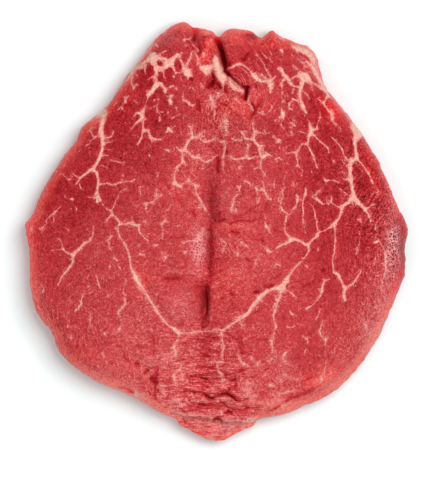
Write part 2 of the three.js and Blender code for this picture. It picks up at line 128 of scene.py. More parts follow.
# Fat and silverskin on the cut face: width at the start and at the end, then the points it runs through.
FAT_STRANDS = [
    # left seam and its side twigs
    (1.5, 2.6, -41.8, 40.5, -40.6, 41, -39.4, 41.6), (2.4, 1.7, -39.4, 42, -39.5, 40, -40, 38),
    (1.7, 2.0, -40, 38, -40.4, 36, -40.3, 34.3), (2.0, 1.1, -40.3, 34.3, -39.9, 32.6, -39.8, 30.5),
    (1.1, 1.3, -39.8, 30.5, -40, 28.5, -40.6, 26.5),
    (1.3, 1.1, -40.6, 26.5, -41.4, 24.6, -42.6, 22.8, -44.1, 21.5),
    (1.1, 0.6, -44.1, 21.5, -46, 20, -47.6, 18.8, -48.5, 17.3, -49.3, 16.5),
    (1.2, 0.9, -43, 21.5, -41.9, 20.4, -41.4, 18.6),
    (0.9, 0.8, -41.4, 18.6, -41.3, 16.8, -41.7, 15, -41.6, 13.2, -41, 12),
    (0.3, 0.5, -50.2, 20.2, -49, 19.4, -48.2, 18.9), (0.5, 0.45, -47.9, 16.5, -47.5, 15.5, -47.2, 14.8),
    (0.3, 0.5, -54.6, 20.2, -53.4, 19.8, -52.5, 18.7, -51.6, 18.1, -51, 18.3),
    (0.45, 0.4, -44.2, 35.2, -43.6, 34.2, -43, 33.2, -42.5, 32.9, -41.7, 33.5),
    (0.3, 0.3, -44, 36.2, -43.2, 36.2), (0.3, 0.2, -42.6, 32.6, -43.6, 32, -44.6, 31.8),
    (0.2, 0.3, -45.9, 29.6, -45.2, 30.3, -44.2, 30.9),
    (0.8, 0.45, -39.3, 33.2, -38, 32.8, -36.9, 33.2, -36.3, 34.1, -36, 35.2),
    (0.5, 0.3, -39.1, 31.3, -38.2, 31, -37.2, 31.2, -36.2, 31.8), (0.4, 0.3, -39.2, 26.7, -37.8, 26.6),
    (0.35, 0.3, -38, 28.8, -37.2, 28.7),
    (0.5, 0.35, -36.9, 25, -35.5, 24.6, -34, 24.3, -32.8, 24.2, -31.6, 24.4),
    (0.5, 0.4, -41.4, 16.9, -40, 16.6, -38.3, 17, -36.6, 16.4),
    (0.5, 0.85, -36.6, 16.4, -35.2, 16.5, -34.4, 16.9, -33.2, 17.3),
    (0.4, 0.6, -33, 17.4, -31.4, 17.5, -29.6, 17.6, -28.6, 18.1),
    (0.3, 0.3, -40.2, 23.2, -39.2, 22.8, -38.3, 22.2), (0.9, 1.1, -32.1, 47, -31.9, 46.2, -32, 45.3),
    (0.4, 0.3, -33, 43.8, -34, 42.9, -34.8, 42.4), (0.3, 0.3, -35.8, 44.2, -34.6, 45.6),
    (0.3, 0.3, -33.3, 43.1, -32.4, 42.4),
    # the star above the left muscle and what hangs from it
    (0.5, 1.2, -24.8, 44.2, -25.4, 42.9, -25.9, 41.6), (0.6, 1.5, -28, 41.4, -26.8, 41.4, -26, 41),
    (0.35, 0.25, -28.2, 41, -29.3, 40.2), (1.7, 1.1, -26, 41.6, -25.8, 40, -26, 39.4),
    (0.5, 0.35, -25.8, 39.6, -24.7, 39.3),
    (1.0, 0.3, -26.2, 39.3, -27.4, 38.5, -28.6, 37.3, -29.3, 36.3, -30.2, 35.3),
    (0.8, 0.9, -25.8, 39.5, -25.7, 38, -25.7, 36.4, -25.4, 35.2),
    (1.0, 0.9, -25.5, 35.2, -24.6, 35.5, -23.8, 35.3), (0.8, 1.0, -23.8, 35.3, -23.5, 34, -23, 32.8),
    (0.9, 0.5, -23, 32.8, -22.6, 32, -22.5, 31.2),
    (1.1, 0.6, -22.9, 32.8, -21.8, 32.4, -20.6, 32.1, -19.4, 32.3),
    (0.35, 0.8, -25.9, 35, -26.2, 33, -26.9, 31.3, -27.5, 30.6),
    (0.35, 0.3, -20.1, 45, -21.6, 43.8, -23, 43), (0.35, 0.3, -20.8, 44, -20.7, 42),
    (0.8, 0.7, -19.9, 40, -19.8, 38.7), (0.4, 0.4, -19.4, 41.8, -20.6, 41.7),
    (0.6, 0.4, -16.8, 41.8, -17.2, 41.1), (0.6, 0.5, -14.1, 43.2, -14, 43),
    (0.45, 0.3, -12.6, 41.2, -13.6, 40.7), (0.3, 0.3, -15.6, 39.6, -14.4, 40.2),
    (1.1, 1.4, -16.3, 46, -16, 45.2, -15.9, 44.2), (0.6, 0.9, -11.6, 46, -10.2, 45.4, -9.3, 44.5),
    (0.9, 0.35, -9.3, 44.5, -8.5, 44, -7.6, 44.4, -7, 45), (1.3, 0.8, -16.8, 35.9, -16.1, 35.4, -15.4, 34.8),
    (0.4, 0.3, -16.8, 34.9, -17.8, 34.5), (0.45, 0.3, -15.9, 35.8, -15, 36.6, -14.4, 37),
    (0.5, 0.9, -18.2, 28.8, -17.4, 28.6, -16.5, 28.3),
    (0.4, 1.1, -14, 29.7, -13.2, 28.7, -12.3, 28.2, -11.3, 28.5),
    (1.0, 1.1, -11.2, 28.6, -10.6, 30, -9.9, 31.3, -8.9, 32.4, -8.3, 33),
    (1.0, 0.4, -8.4, 33.1, -8.6, 34.8, -9, 36.5, -9.8, 36.8), (0.35, 0.3, -9, 36.6, -8.4, 37.3),
    (1.0, 0.45, -8.3, 33, -7.2, 32.9, -6.2, 33.4, -5.2, 34.3, -4.2, 35.1),
    (0.5, 0.9, -6.4, 33, -5.6, 32.3, -4.6, 31.5, -3.6, 31.3),
    (0.9, 0.35, -3.6, 31.3, -2.4, 31.8, -1.2, 32, -0.3, 33),
    (0.8, 0.9, -10.9, 28.3, -10, 27.9, -9.2, 27.2, -8.5, 26.3, -7.2, 25.9),
    (0.9, 0.7, -7.2, 25.9, -6.2, 26, -5.2, 25.1, -4.2, 24.5, -3, 24.5),
    (0.7, 0.5, -3, 24.5, -2, 25, -1.2, 25.6, -0.4, 26.2, 0.4, 26.8),
    (0.5, 1.0, -12, 28, -11.8, 26.6, -11.9, 25, -11.9, 24.5),
    (0.7, 0.3, -11.8, 24.8, -11.1, 24, -10.4, 23.4), (0.45, 0.9, -12, 24.4, -13, 23, -13.8, 22.5),
    (0.5, 0.4, -13.8, 22.5, -14.4, 22.2),
    (0.35, 0.8, -14, 22, -14.4, 20.6, -14.8, 19.4, -14.6, 18, -14.4, 17.2),
    (0.4, 1.0, -15.6, 17, -14.8, 16.4, -14, 16.6), (0.9, 0.9, -14, 16.6, -13.4, 16, -12.6, 15.9),
    (0.8, 0.4, -12.6, 15.9, -11.9, 16.6, -11.2, 17), (0.45, 0.3, -12.6, 15.8, -12, 15),
    (0.9, 0.6, -9.8, 18.3, -9.3, 17.7), (0.5, 0.8, -8, 16.6, -7, 16), (0.8, 0.35, -7, 16, -6.2, 15.8),
    (0.7, 0.5, -7.2, 16, -7.2, 15), (0.5, 0.8, -7.2, 14.9, -6.9, 13.4, -6.2, 12),
    (0.8, 0.6, -6.2, 12, -5.4, 10.9, -4.8, 9.4, -4.5, 8.4), (0.45, 0.35, -33.6, 13.9, -32.8, 14.6),
    (0.5, 0.4, -31.9, 14.9, -31.6, 14.8), (0.35, 0.3, -35.7, 9.2, -35.2, 10.6, -34.4, 12, -34, 12.8),
    (0.3, 0.25, -32.6, 18.8, -32.8, 20), (0.45, 0.35, -26.9, 15.6, -26.6, 14, -26.4, 12.6),
    (0.5, 0.4, -27, 15.5, -26.2, 15.8),
    (0.35, 0.65, -20.7, 15, -20.9, 13.4, -20.9, 12, -21.4, 11, -22.6, 10.3),
    (0.65, 0.6, -22.6, 10.3, -24, 10, -25.2, 9.9), (0.6, 0.5, -24.6, 10, -24.6, 8.7),
    (0.5, 0.45, -19.2, 12.9, -19.8, 12.1, -20.8, 12.1), (0.5, 0.4, -20.6, 20, -20.6, 19.2),
    (0.6, 0.5, -23.5, 27, -23.3, 26.5), (0.7, 0.6, -16.4, 13.2, -16.2, 13.1),
    (1.1, 0.6, -2, 47, -1.4, 45, -0.8, 43.8), (0.6, 0.5, -0.7, 41.2, -0.6, 40.6),
    (0.6, 0.5, -4.9, 22.2, -4.8, 22), (0.5, 0.4, 1.6, 31.4, 3, 31.2),
    (0.5, 1.1, 3.2, 30, 2.8, 28, 2.4, 26.3), (0.4, 0.3, 2.3, 24.6, 2.4, 21), (0.9, 0.6, 3.6, 39, 3, 36.6),
    # right seam and what runs into it
    (1.0, 2.6, 47.3, 36.8, 48.3, 35.6, 49.2, 34.4), (2.6, 2.2, 49.2, 34.4, 49.2, 33, 48.6, 32),
    (1.9, 1.1, 48.6, 32.2, 48.3, 31, 48.5, 30), (1.1, 1.6, 48.5, 30, 48.7, 28.4, 49, 26.8, 49, 25.6),
    (1.5, 1.2, 49, 25.8, 48.2, 25, 47.4, 24.6), (1.5, 1.6, 47.2, 25, 46.9, 23.5, 46.9, 22),
    (1.6, 1.5, 46.9, 22, 46.8, 20, 47.1, 18.2), (1.5, 1.3, 47.1, 18.2, 47.3, 16.5, 47.6, 14.8, 47.9, 13.4),
    (1.3, 2.0, 47.9, 13.4, 47.9, 12.4, 47.5, 11.4), (0.5, 0.6, 49.4, 25.2, 50.6, 23.9, 51.8, 22.6, 52.8, 21),
    (0.6, 0.7, 52.8, 21, 53.6, 19.7, 54.2, 18.3, 54.9, 16.6), (0.35, 0.35, 54.4, 13, 55.6, 13.6, 56.6, 13.7),
    (0.3, 0.3, 56.2, 15, 56.8, 13.8), (0.3, 0.6, 39.8, 33.3, 41, 32.4, 42, 31.4, 43.2, 30, 44, 28.8),
    (0.6, 0.5, 44, 28.8, 44.4, 27.6, 44.7, 26.4, 45.6, 25.3, 46.3, 24.6),
    (0.25, 0.3, 43.9, 25, 45, 23.6, 46.2, 22), (0.3, 0.4, 44, 21, 45, 20, 46, 18.8),
    (0.35, 0.45, 44.2, 18.6, 45.6, 18, 46.6, 17.4), (0.5, 0.8, 37.6, 18.7, 38.2, 17.9),
    (0.6, 0.35, 38.2, 17.9, 40, 17.9, 41.4, 17.8), (0.4, 0.55, 41.4, 17.8, 42.4, 17.4),
    (0.4, 0.35, 38.3, 17.4, 38.4, 16.4), (0.4, 0.35, 44.6, 13.8, 45.8, 12.9),
    (0.5, 0.5, 43.4, 14.8, 43.5, 14.6), (0.5, 0.5, 34.2, 33.6, 35.4, 32.4, 36.8, 31, 38.4, 29.8),
    (0.6, 0.4, 38.4, 29.8, 39.4, 28.6, 39.3, 27.4),
    # the star of the right muscle
    (0.4, 0.9, 32.4, 38.8, 32.6, 37.6, 33, 36.5), (1.4, 1.7, 32.8, 36.6, 33.2, 35.6, 33.2, 34.2),
    (0.8, 0.5, 33.2, 36, 34.4, 35.7, 35.4, 35.8), (0.4, 0.25, 35.1, 35.9, 35.3, 37.4, 35.8, 38.6),
    (0.9, 0.8, 36.2, 39.9, 36.2, 39.6), (0.25, 0.3, 36.1, 40, 36.2, 42),
    (1.2, 0.7, 32.8, 34.2, 32.3, 33.3, 32.1, 31.8, 31.9, 30.6), (0.9, 0.5, 33.4, 34.2, 34.4, 33.4),
    (0.5, 0.8, 31.8, 30.3, 32.6, 29, 33.3, 27.6, 34, 26.4, 34.3, 25.4),
    (0.45, 0.6, 34.3, 25.4, 34.6, 24.4, 35, 23, 35.2, 22.4), (0.5, 0.6, 31.9, 30.4, 31, 30.6, 30, 30.6),
    (0.5, 0.7, 30, 30.6, 29.3, 29.6, 28.7, 28.3, 28, 27.7),
    (0.6, 0.4, 28.2, 27.8, 27, 27.8, 26, 27.6, 24.4, 27.4),
    (0.8, 0.4, 27.9, 27.4, 28.1, 26, 28.4, 24.4, 28.6, 23.2), (0.7, 0.6, 28.2, 22.9, 28.3, 22.7),
    # upper right rim fat and the net under it
    (0.5, 0.5, 26, 53.2, 27, 54, 28.4, 54.6), (0.5, 0.8, 25, 52.2, 26.4, 51.2, 27.8, 50.7, 29, 50.6),
    (2.4, 1.6, 29.6, 54.6, 31, 53.8, 32.6, 52.6), (1.9, 1.5, 30.4, 53.6, 29.8, 51.8, 29.6, 50.4),
    (1.4, 0.8, 29.4, 50.2, 29.2, 48.6, 29.3, 47), (0.9, 1.6, 29.3, 47, 29.6, 45.4, 30.2, 43.8),
    (1.6, 0.7, 30.2, 43.8, 31, 42.2, 31.6, 41.2), (0.6, 0.5, 26.8, 46.4, 27.8, 45.9, 28.8, 45.3),
    (0.7, 0.4, 26.8, 46.2, 26, 45), (0.35, 0.35, 27, 50, 26.6, 48.6),
    (0.3, 0.3, 30.4, 49, 31.4, 48, 32.4, 46.8), (0.6, 0.3, 33, 51.4, 33.4, 50.6, 33.6, 49.4),
    (1.0, 0.8, 32.6, 52.4, 34.4, 51.6, 36, 50.6), (0.8, 1.1, 36, 50.6, 37.4, 49.8, 38.4, 49),
    (1.9, 1.6, 34.4, 56.4, 35.6, 54, 36.8, 52), (1.6, 1.9, 36.8, 52, 38.2, 49.8),
    (1.8, 1.1, 38.2, 49.8, 38.9, 48.4, 39.2, 47.2), (0.8, 0.6, 38.6, 47, 38.3, 46, 37.6, 45.2),
    (0.4, 0.5, 35.6, 46.4, 36.8, 45.4, 37.5, 44.8), (0.5, 0.8, 37.6, 44.8, 38.4, 43.4, 39.4, 42, 40.2, 41.5),
    (0.6, 1.3, 40.3, 42.4, 40.4, 40.6, 40.6, 39.3), (0.7, 0.5, 40.4, 41.6, 41.2, 41),
    (0.4, 0.3, 40.8, 38.8, 42.2, 37.4, 43.4, 36.2, 43.7, 35.4), (0.4, 0.3, 41, 38, 41.5, 37.4),
    (0.4, 0.5, 40.2, 46.9, 42, 45.6, 44, 43.4, 46, 40.4, 47.6, 37.8), (0.9, 0.9, 31.2, 15, 31.2, 13.2),
    (0.5, 0.4, 28, 13, 29, 11), (0.4, 0.3, 35.9, 14.4, 35, 13.6), (0.5, 0.4, 33.2, 21, 33.3, 20.8),
    (0.6, 0.5, 29.8, 19.9, 29.8, 19.6), (0.6, 0.5, 26.8, 17.2, 27, 16), (0.6, 0.5, 41, 24.8, 41.1, 24.5),
    (0.3, 0.3, 29.2, 35, 31, 34.4), (0.35, 0.3, 27.4, 38.4, 26.8, 39.4),
    # middle left
    (0.6, 0.4, -40.8, 11.4, -40, 10, -39.2, 8.8, -38.2, 7.8), (0.4, 1.1, -37.2, 7.6, -36.6, 6.6, -36.4, 6),
    (0.9, 0.7, -36.4, 6, -35.2, 5, -34.2, 3.8, -33.8, 3.2), (0.3, 0.3, -36.6, 7, -36, 8.6, -35.7, 9.2),
    (0.35, 0.25, -37, 5.6, -38, 4.4, -38.8, 3),
    (0.8, 0.9, -33.8, 3.1, -32.8, 2.7, -31.8, 2.6, -30.6, 3, -29.4, 3),
    (1.0, 1.1, -29.4, 3.1, -28.6, 2.4, -27.8, 2.1), (0.9, 0.35, -27.8, 2.2, -26.4, 2.6),
    (0.7, 0.5, -27.2, 1.9, -27.1, 0.6, -26.6, -0.6, -25.6, -1.6, -24.6, -2.6, -24, -3.2),
    (0.5, 0.4, -33.9, 2.9, -34.3, 1.6, -34.3, 0, -34.1, -1.4),
    (0.5, 0.75, -34.1, -1.4, -33.4, -2.4, -32.2, -4, -31.4, -5.6),
    (0.65, 0.9, -31.4, -5.6, -30.8, -7.2, -30.4, -8.8),
    (0.6, 0.9, -30.4, -8.8, -30.1, -10.4, -30, -12, -29.6, -13.2), (0.6, 0.6, -35.2, 1.2, -34.6, 1.4),
    (0.6, 0.5, -36.6, -1.4, -37.4, -2.4, -38.4, -3.1),
    (0.4, 0.35, -37.7, -3, -37.6, -4.6, -37.3, -5.8, -36.6, -6.4),
    (0.6, 0.65, -35.9, -9.1, -35.2, -9.6, -34.6, -10.2), (0.5, 0.6, -34.2, -12, -33.6, -13),
    (0.8, 0.7, -37.3, -12.3, -37.2, -12.1), (0.45, 0.35, -31.8, -16.6, -31.2, -17.8),
    (0.3, 0.3, -32.2, -19, -32.6, -20.8, -32.2, -22.4), (0.6, 0.4, -26.8, -7.8, -26, -8.2, -25, -8),
    (0.6, 0.8, -22, -4.7, -21.4, -4.9), (0.7, 0.35, -21.4, -4.9, -20.4, -4.5),
    (0.4, 0.4, -19.2, -6.8, -19.2, -7.6), (0.6, 0.5, -17.7, -8.8, -17.7, -9.5, -18.3, -10.3),
    (0.5, 0.5, -24.8, 3.6, -24.8, 3.1), (0.5, 0.7, -19.6, 2.7, -18.8, 3.1, -18, 3.7),
    (0.5, 0.3, -18, 3.7, -17.7, 4.6), (0.45, 0.3, -17.9, 3.8, -17, 3.6),
    (0.25, 0.35, -19, 2.2, -18.6, 0, -18.8, -1.6, -19.2, -2.5), (0.25, 0.25, -17, 7.4, -16.2, 8.4, -16, 9.4),
    (0.7, 0.6, -24.7, 9.5, -24.7, 8), (0.7, 1.0, -4.6, 9.4, -4.2, 8.2, -3.8, 7.6),
    (0.6, 0.4, -6.2, 8.6, -5.2, 8.3), (0.6, 0.6, -2.8, 6.2, -2.7, 6),
    (0.35, 0.5, -4.4, -0.6, -5.6, -1.8, -6.6, -2.8),
    (0.5, 0.4, -6.6, -2.8, -8, -3.2, -9.4, -3.2, -10.8, -3.6), (0.5, 0.7, -10.8, -3.6, -11.5, -4),
    (0.35, 0.3, -4.5, 1.2, -5.2, 0.2, -6.1, -0.6), (0.8, 0.6, -10.9, -7, -11.2, -7.6),
    (0.35, 0.6, 2.2, -3.2, 3.4, -4.2), (0.6, 0.35, 3.4, -4.3, 3, -5.2, 2.2, -6.2, 2.4, -7),
    (0.3, 0.25, -12.8, 2.4, -13.8, 1.8),
    # silverskin seam, left arm
    (1.0, 1.8, -29.4, -13.4, -28.6, -14.8, -27.9, -16.4), (1.8, 1.6, -27.9, -16.4, -27.2, -18, -26.2, -19.6),
    (1.6, 0.9, -26.2, -19.6, -24.8, -21.4, -23.8, -22.8),
    # middle right
    (0.5, 0.9, 7.2, 16, 7.8, 15.4), (0.9, 0.4, 7.8, 15.4, 8.6, 15.9), (0.8, 0.6, 7.9, 15.4, 8, 14.6),
    (0.7, 0.6, 7.4, 13, 6.4, 12.2, 5.9, 11, 5.8, 9.4, 5.2, 8, 5, 7.2), (0.6, 0.5, 7, 7.8, 6.6, 6.8),
    (0.8, 0.35, 10.2, 17.6, 11, 17.3, 11.9, 16.4), (0.4, 0.9, 13.5, 15.6, 14.2, 14.8),
    (0.8, 0.5, 14.2, 14.8, 15, 14.4, 16, 14.6), (0.5, 0.7, 16, 14.6, 16.9, 14.2, 17.3, 13.4),
    (0.3, 0.5, 16.4, 17.4, 16.5, 16, 16.8, 14.8), (0.4, 0.6, 17.4, 13, 18.2, 12, 18.4, 11.4),
    (0.9, 0.8, 18, 11.3, 18.9, 11.4), (0.7, 0.55, 15, 11.4, 14.6, 10.4), (0.25, 0.3, 16.9, 6, 17.1, 4.6),
    (0.6, 1.3, 17.1, 2.9, 17.5, 1.6), (1.2, 0.5, 17.5, 1.6, 18.3, 0.8), (0.35, 0.25, 18.4, 0.6, 18.6, -0.4),
    (1.1, 1.1, 17.8, -6.4, 18.7, -7), (0.4, 0.4, 16.8, -5.7, 17.2, -6), (0.5, 0.45, 13.6, -10, 13.7, -11.4),
    (0.4, 0.35, 14.3, -9.4, 15.2, -8.9), (0.6, 0.5, 20.8, -11.5, 21.6, -11.5, 22.4, -11.9),
    (0.8, 0.7, 7.7, -7.4, 7.2, -8.4), (0.6, 0.35, 8.6, -3.8, 9.4, -4.4, 10.4, -4.9),
    (0.35, 0.6, 10.4, -4.9, 11.4, -5.7), (0.5, 0.45, 3, -6.6, 3.3, -7.3), (0.5, 0.8, 22.4, 9, 22.9, 7.8),
    (0.75, 0.65, 22.9, 7.8, 24, 6.8, 24.8, 6.2), (0.8, 0.5, 24.8, 6.2, 26, 6.2),
    (0.7, 0.4, 24.7, 6, 24.4, 4.6, 24, 3, 24, 1.2), (0.5, 0.6, 24, 1.2, 23.8, 0.4, 24.6, -0.8, 25.6, -1.9),
    (0.7, 1.1, 25.6, -1.9, 26.2, -2.5), (0.6, 0.5, 28.5, 11.4, 28, 9.6, 27.6, 8.6, 26.8, 7.9),
    (0.4, 0.8, 27.9, 12.6, 28.6, 11.4), (0.8, 0.5, 28.4, 11.7, 28.3, 10.8),
    (0.5, 0.35, 22.9, 13.9, 23.4, 12.6, 23, 11, 22.5, 9.6), (0.5, 0.4, 21.8, 11.8, 21.7, 10.8),
    (0.35, 0.35, 24.2, 15.6, 23.2, 14.4), (0.25, 0.3, 20.2, 16.6, 20.1, 15.2),
    (1.0, 0.5, 31.1, 12.8, 30.6, 11.8), (0.5, 0.4, 30.4, 11.4, 30.2, 9, 30.5, 7, 30.2, 5, 30.2, 3.6),
    (0.3, 0.2, 30.3, 3.4, 30.9, 1.2, 31, -0.6), (0.3, 0.5, 32.6, 9.8, 33.9, 8.6, 34.4, 7, 34.5, 5.6),
    (0.6, 0.4, 34.5, 5.6, 35, 4, 35.2, 2.2, 35.5, 0.4), (0.35, 0.9, 33.4, 12.3, 34.4, 11.9, 35.3, 11.3),
    (1.0, 0.7, 35.3, 11.3, 36.4, 10.3, 37.2, 9.7), (0.4, 0.35, 34.6, 13.4, 35.4, 13, 36, 13.9, 36.6, 14.6),
    (0.4, 0.3, 38.6, 11.6, 38.7, 10, 39.4, 9), (0.8, 0.4, 40.8, 2, 39.2, 1.2, 38, 0.4, 36.8, 0),
    (0.6, 1.3, 36.4, 0, 35.6, -0.4, 35.2, -1.3), (0.9, 0.5, 35, -1.7, 34.2, -2.4, 33.4, -3),
    (0.6, 1.1, 33.4, -3, 32.4, -4.2), (1.0, 0.8, 27, -2.4, 29, -3.2, 30.2, -4),
    (0.9, 1.2, 30.2, -4, 31.2, -4.5, 32.2, -4.7), (1.5, 1.1, 26, -2.9, 27.2, -2.6),
    (1.3, 0.8, 26, -3.2, 24.6, -4, 23, -4.6), (0.8, 0.5, 23, -4.6, 21.8, -5.2, 20.8, -5.9),
    (0.8, 0.5, 32.2, -5, 32.5, -6.2, 32.2, -7.2, 31.4, -8.4), (0.5, 0.5, 31.4, -8.4, 30.8, -9.3, 30, -9.6),
    (0.35, 0.8, 29.7, -10.4, 28.6, -11.5, 27.6, -12.4), (0.75, 0.7, 27.6, -12.4, 26.6, -13.6, 26, -14.6),
    (0.4, 0.6, 24, -20.8, 25.6, -20.9, 26.8, -21.9, 27.8, -23),
    (0.5, 0.6, 39.5, -16.6, 38.4, -16.9, 37.6, -17.4), (0.35, 0.7, 37.6, -16, 37.6, -17.6, 37.2, -19),
    (0.7, 1.0, 37.2, -19, 37, -20.6), (0.9, 0.4, 37, -20.6, 36.4, -22), (0.4, 0.5, 35.4, -20, 36.6, -20.2),
    (0.6, 0.5, 31.6, -12, 31.9, -12.8), (0.4, 0.4, 35.7, -5.4, 35.5, -6.8),
    (0.25, 0.2, 27.8, -6.6, 26.4, -8.4),
    # silverskin seam, right arm
    (0.7, 1.7, 25.8, -14.8, 25, -16, 24.7, -16.9), (2.0, 1.6, 24.6, -17, 23.4, -18.6),
    (1.8, 2.2, 23.4, -18.6, 22.8, -19.7), (2.0, 1.3, 22.8, -19.7, 21, -19.6, 19.2, -19.9),
    (1.4, 1.6, 19.2, -19.9, 17.8, -20.6, 16.6, -21.8, 15, -22.8),
    (1.5, 0.7, 22.8, -20, 22.4, -21.6, 22.2, -23),
    # right flank
    (1.5, 1.7, 48.1, 13, 48.7, 11.6, 49.6, 10.2), (1.6, 1.1, 49.6, 10.2, 51, 8.8, 52, 7.8),
    (0.9, 0.45, 52, 7.8, 52.9, 6.4, 53.6, 5, 54, 3.4), (0.4, 0.55, 52.4, 8, 53.8, 8.8, 55.2, 9.6),
    (0.7, 1.0, 47, 12, 46.8, 10.9, 46.4, 10.1), (1.0, 1.3, 46.6, 10.2, 45.2, 9.6, 44, 8.8),
    (0.6, 0.4, 47.5, 11, 47.8, 9.2), (1.1, 0.8, 44, 8.8, 43.8, 7.4, 43.4, 6, 42.8, 4.6),
    (0.8, 1.4, 42.8, 4.6, 41.8, 3.3, 41.1, 2.8), (0.7, 0.4, 43.6, 8.7, 42.6, 8.6, 41.4, 9.4, 40.2, 10.2),
    (0.5, 0.4, 40.1, 10.4, 40.3, 12.2), (0.5, 0.35, 39.9, 10.3, 39.2, 10),
    (1.2, 0.8, 41.2, 2.6, 41.4, 1.2, 41.4, 0.4), (0.4, 0.5, 41.4, 0.4, 41.6, -1.4, 41.6, -3.6, 41.4, -5.4),
    (0.55, 0.4, 41.4, -5.4, 41.4, -7, 40.7, -8.6, 40.6, -10.4),
    (0.4, 0.7, 40.6, -10.4, 40.8, -12.4, 41.1, -14), (0.8, 1.2, 41.1, -14.3, 42.2, -14.7),
    (1.1, 0.8, 42.2, -14.7, 43, -15.8, 43.8, -17.4), (0.8, 1.4, 43.8, -17.4, 44.4, -18.8, 45, -19.8),
    (0.8, 0.45, 45.4, -19.6, 46.6, -18.9, 47.8, -18.2),
    (0.5, 0.8, 47.8, -18.2, 48.6, -17, 49.4, -15.6, 50.4, -14.4, 50.6, -13.6),
    (1.3, 1.1, 45, -20, 44.6, -21.4, 44.6, -22.6, 45, -24), (0.5, 0.4, 48.9, -5.8, 49.2, -7, 48.9, -8),
    (0.35, 0.3, 50, 0.2, 50.2, -1.2), (0.3, 0.3, 50.2, -2.4, 50, -4.4, 49.2, -5.6),
    (0.6, 0.6, 49.5, 4.2, 50.4, 4.4, 50.7, 3), (0.6, 0.6, 55.7, 2.2, 55.5, 0.6),
    (0.8, 1.0, 56.6, -3.1, 55.9, -3.8), (0.5, 0.9, 58, -5, 58.8, -6.4, 59.2, -8.2),
    (0.9, 0.7, 59.2, -8.2, 59.2, -10, 59.2, -11.8, 59.4, -13.4),
    (0.6, 0.5, 59.4, -13.4, 58.8, -15, 58.2, -17, 58, -19), (0.3, 0.3, 55.6, -9, 55.4, -11.6),
    # left flank
    (0.6, 1.2, -42.3, 14, -42.2, 12.6, -41.6, 11.6), (1.3, 0.8, -41.3, 11.5, -41.8, 10.4),
    (0.25, 0.35, -45.2, 12.1, -43.6, 12, -42.2, 11.6), (0.45, 1.0, -51.4, 11.6, -50.3, 11.4),
    (0.5, 0.4, -53, 12.4, -52.7, 12), (0.45, 0.6, -54.4, 8.9, -55.4, 7.9, -56.4, 6.8),
    (0.6, 0.5, -56.4, 6.8, -57.8, 5.8, -58.8, 4.8), (0.35, 0.3, -59.6, 4, -59.4, 2.8),
    (0.3, 0.3, -57, 5.4, -56.8, 3.6), (0.45, 0.4, -60.2, 1.8, -61.2, 1), (0.4, 0.3, -61.8, 1.2, -61, 0),
    (0.8, 0.6, -64.7, 0.9, -64.8, 0.1), (0.6, 0.5, -49.2, 8.8, -48.9, 7.6),
    (0.35, 0.4, -52.5, 1.2, -51.6, 0.5), (0.35, 0.35, -55.2, -2.6, -54.4, -3, -54, -4.4, -53.6, -5.8),
    (0.3, 0.8, -53.6, -5.8, -52.8, -7, -51.6, -7.7, -50.6, -7.9),
    (0.3, 0.35, -43, 2, -43.1, 0, -43.2, -1.4, -44, -2.8), (0.5, 0.95, -44, -2.8, -45, -3.6, -46, -3.9),
    (0.9, 1.0, -46, -3.9, -47, -5, -48.2, -6.4), (0.9, 1.4, -48.2, -6.4, -49.4, -7.4, -50, -7.9),
    (1.5, 0.8, -50, -8, -50.2, -9.4, -50.3, -10.6), (0.7, 0.8, -50.3, -10.6, -51, -12, -52.2, -13.6),
    (0.75, 0.6, -52.2, -13.6, -53.6, -15, -54.2, -16), (0.45, 0.6, -54.2, -16, -54.6, -17.4, -55.4, -18.3),
    (0.25, 0.2, -53.8, -6.2, -56, -6.3, -58, -6.8),
    (0.25, 0.35, -61.4, -18.4, -60.6, -19.6, -60.4, -20.4, -61.2, -21.4),
    (0.4, 0.4, -42, -15.4, -41.6, -17, -41.2, -18.2), (0.6, 0.3, -41.2, -18.2, -40.6, -19.8),
    (0.3, 0.25, -44.8, -15, -45.2, -16.4), (0.6, 0.5, -44.8, -19.1, -44.8, -19.3),
    (0.35, 0.8, -46.8, -22.4, -47.2, -24, -47.5, -25.6), (0.7, 0.45, -47.5, -25.6, -48.4, -27, -49.6, -27.7),
    (0.5, 0.25, -44, -28.6, -44.2, -30, -44, -33), (0.6, 0.5, -38, -22.4, -38, -22.8),
    (0.6, 0.5, -37.8, -28.3, -37.8, -28.6), (0.4, 0.4, -52, -33.3, -52, -33.6),
    # lower left
    (0.5, 0.6, -32, -23.6, -31.8, -25.2), (0.6, 0.45, -31.8, -25.2, -33, -26.6, -34, -27.8),
    (0.6, 0.4, -34.2, -27.8, -34.3, -29.5), (0.5, 0.4, -33.6, -33.4, -34.2, -34.6),
    (0.9, 0.7, -39.2, -35.6, -38.9, -36), (0.4, 0.35, -40, -42.4, -39.4, -43.6),
    (0.35, 0.3, -50.8, -36, -50.5, -37.4), (0.9, 1.0, -23.8, -22.8, -22.2, -25.6, -21, -27.6),
    (1.0, 0.6, -21, -27.6, -20, -29, -18.6, -30.8, -17.2, -32.4),
    (0.55, 1.0, -17.2, -32.4, -16, -33.4, -14.6, -34), (1.0, 0.7, -14.6, -34, -13.4, -35.2),
    (0.5, 0.4, -22.8, -33.9, -22.6, -34.8), (0.8, 1.8, -28.1, -55.4, -28.3, -56.9),
    (1.7, 0.9, -28.3, -56.9, -27.4, -58), (0.9, 0.5, -27.4, -56.7, -25.8, -57.2, -24.6, -58.6),
    (0.5, 0.35, -24.6, -58.6, -23.4, -60.2, -22.6, -61), (0.4, 0.4, -21, -53, -19.6, -53.6, -18, -54.2),
    (0.5, 0.5, -19.2, -55.6, -18.9, -55.8), (0.5, 0.6, -18.6, -56.6, -17.6, -57.2),
    (0.5, 0.4, -14.9, -55.5, -14.7, -55.7), (0.5, 0.35, -14.6, -59, -13.4, -60),
    # silverskin seam, under the fold
    (0.7, 1.3, -16, -33.3, -14.6, -34.2, -13.6, -34.9), (1.2, 0.8, -13.6, -35, -12, -35.3),
